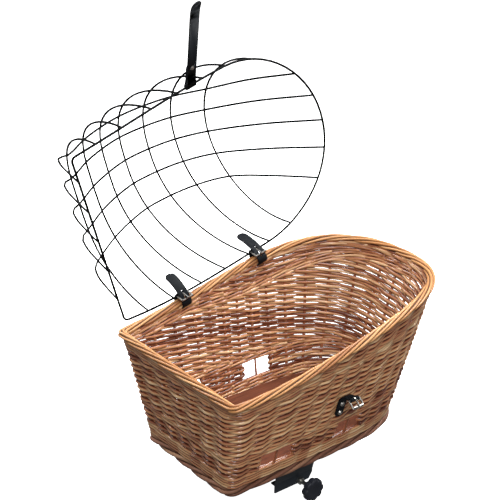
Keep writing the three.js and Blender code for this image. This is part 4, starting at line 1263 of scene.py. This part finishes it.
@dataclass
class Studio:
    """The photograph's camera, a pale floor and soft white light.

    Angles are in degrees, focal and picture in the photograph's pixels, sensor, distance, aim,
    origin and floor_z in millimetres, and the other lengths in metres.
    """

    azimuth: float = -39.2634
    elevation: float = 23.7422
    roll: float = 1.3722
    focal: float = 1234.6
    distance: float = 2376.64
    aim: tuple[float, float] = (-77.605, 335.685)
    origin: tuple[float, float, float] = (70.0, 0.0, 3.0)
    picture: float = 500.0
    sensor: float = 36.0
    # How far the camera sees.
    farthest: float = 50.0
    floor_z: float = -70.5
    # Half the floor's side, so wide that its edge stays out of side views.
    floor_half: float = 30.0
    floor_glow: float = 1.1
    sky: float = 0.2
    # The place that every light faces.
    lit: tuple[float, float, float] = (0.05, 0.0, 0.25)
    lights: tuple[Softbox, ...] = (
        Softbox("overhead", (0.2, 0.0, 2.4), 2.0, 40),
        Softbox("right", (1.5, -0.1, 2.2), 1.1, 84),
        Softbox("behind", (-0.5, 1.9, 1.9), 1.0, 50),
        Softbox("key", (-1.1, -1.7, 2.2), 1.3, 60),
    )

    def camera(self) -> None:
        """Places the camera.

        Its axes come from azimuth and elevation, turned by the roll. Its place is the origin,
        plus the aim along the first two axes and the distance along the third.
        """
        a, e, r = (math.radians(v) for v in (self.azimuth, self.elevation, self.roll))
        back = np.array([math.sin(a) * math.cos(e), -math.cos(a) * math.cos(e), math.sin(e)])
        right = np.array([math.cos(a), math.sin(a), 0.0])
        up = np.cross(back, right)
        x = math.cos(r) * right + math.sin(r) * up
        y = -math.sin(r) * right + math.cos(r) * up
        place = x * self.aim[0] + y * self.aim[1] + back * self.distance + self.origin
        lens = bpy.data.cameras.new("camera")
        lens.sensor_width = self.sensor
        lens.lens = self.sensor * self.focal / self.picture
        lens.clip_end = self.farthest
        camera = add_object("camera", lens)
        turn = Matrix((x, y, back)).transposed().to_4x4()
        camera.matrix_world = Matrix.Translation(Vector(place * MM)) @ turn
        bpy.context.scene.camera = camera

    def build(self) -> None:
        """Sets up the camera, the light and the floor."""
        self.camera()
        scene = bpy.context.scene
        scene.view_settings.view_transform = "Standard"
        world = bpy.data.worlds.new("studio")
        world.use_nodes = True
        fill(world.node_tree.nodes["Background"], {"Color": WHITE, "Strength": self.sky})
        scene.world = world
        for light in self.lights:
            light.hang(self.lit)
        mesh = bpy.data.meshes.new("floor")
        side, height = self.floor_half, self.floor_z * MM
        corners = [(x * side, y * side, height) for x, y in ((-1, -1), (1, -1), (1, 1), (-1, 1))]
        mesh.from_pydata(corners, [], [(0, 1, 2, 3)])
        material, _, shader = new_material("pale_floor")
        fill(shader, {"Base Color": WHITE, "Roughness": 0.9, "Specular IOR Level": 0.0,
                      "Emission Color": WHITE, "Emission Strength": self.floor_glow})
        mesh.materials.append(material)
        floor = add_object("floor", mesh)
        floor.visible_diffuse = False
        floor.visible_glossy = False


def main() -> None:
    """Builds the studio and the basket."""
    logging.basicConfig(level=logging.INFO, format="%(message)s")
    Studio().build()
    wall = WallForm()
    Weaving(wall).build()
    RimBorder(wall, "rim_border", PALE_WILLOW, Slot.RIM, half_width=8.8, half_height=8.0,
              rod=4.7, rods=36, span=4.3, start=-50, end=215, seed=3).build()
    FootBorder(wall, "foot_border", DARK_WILLOW, Slot.FOOT, half_width=9.5, half_height=10.0,
               rod=7.4, rods=24, span=5.0, start=-110, end=190, seed=5).build()
    Fittings().build()
    StarKnob().build()
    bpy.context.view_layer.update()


if __name__ == "__main__":
    main()
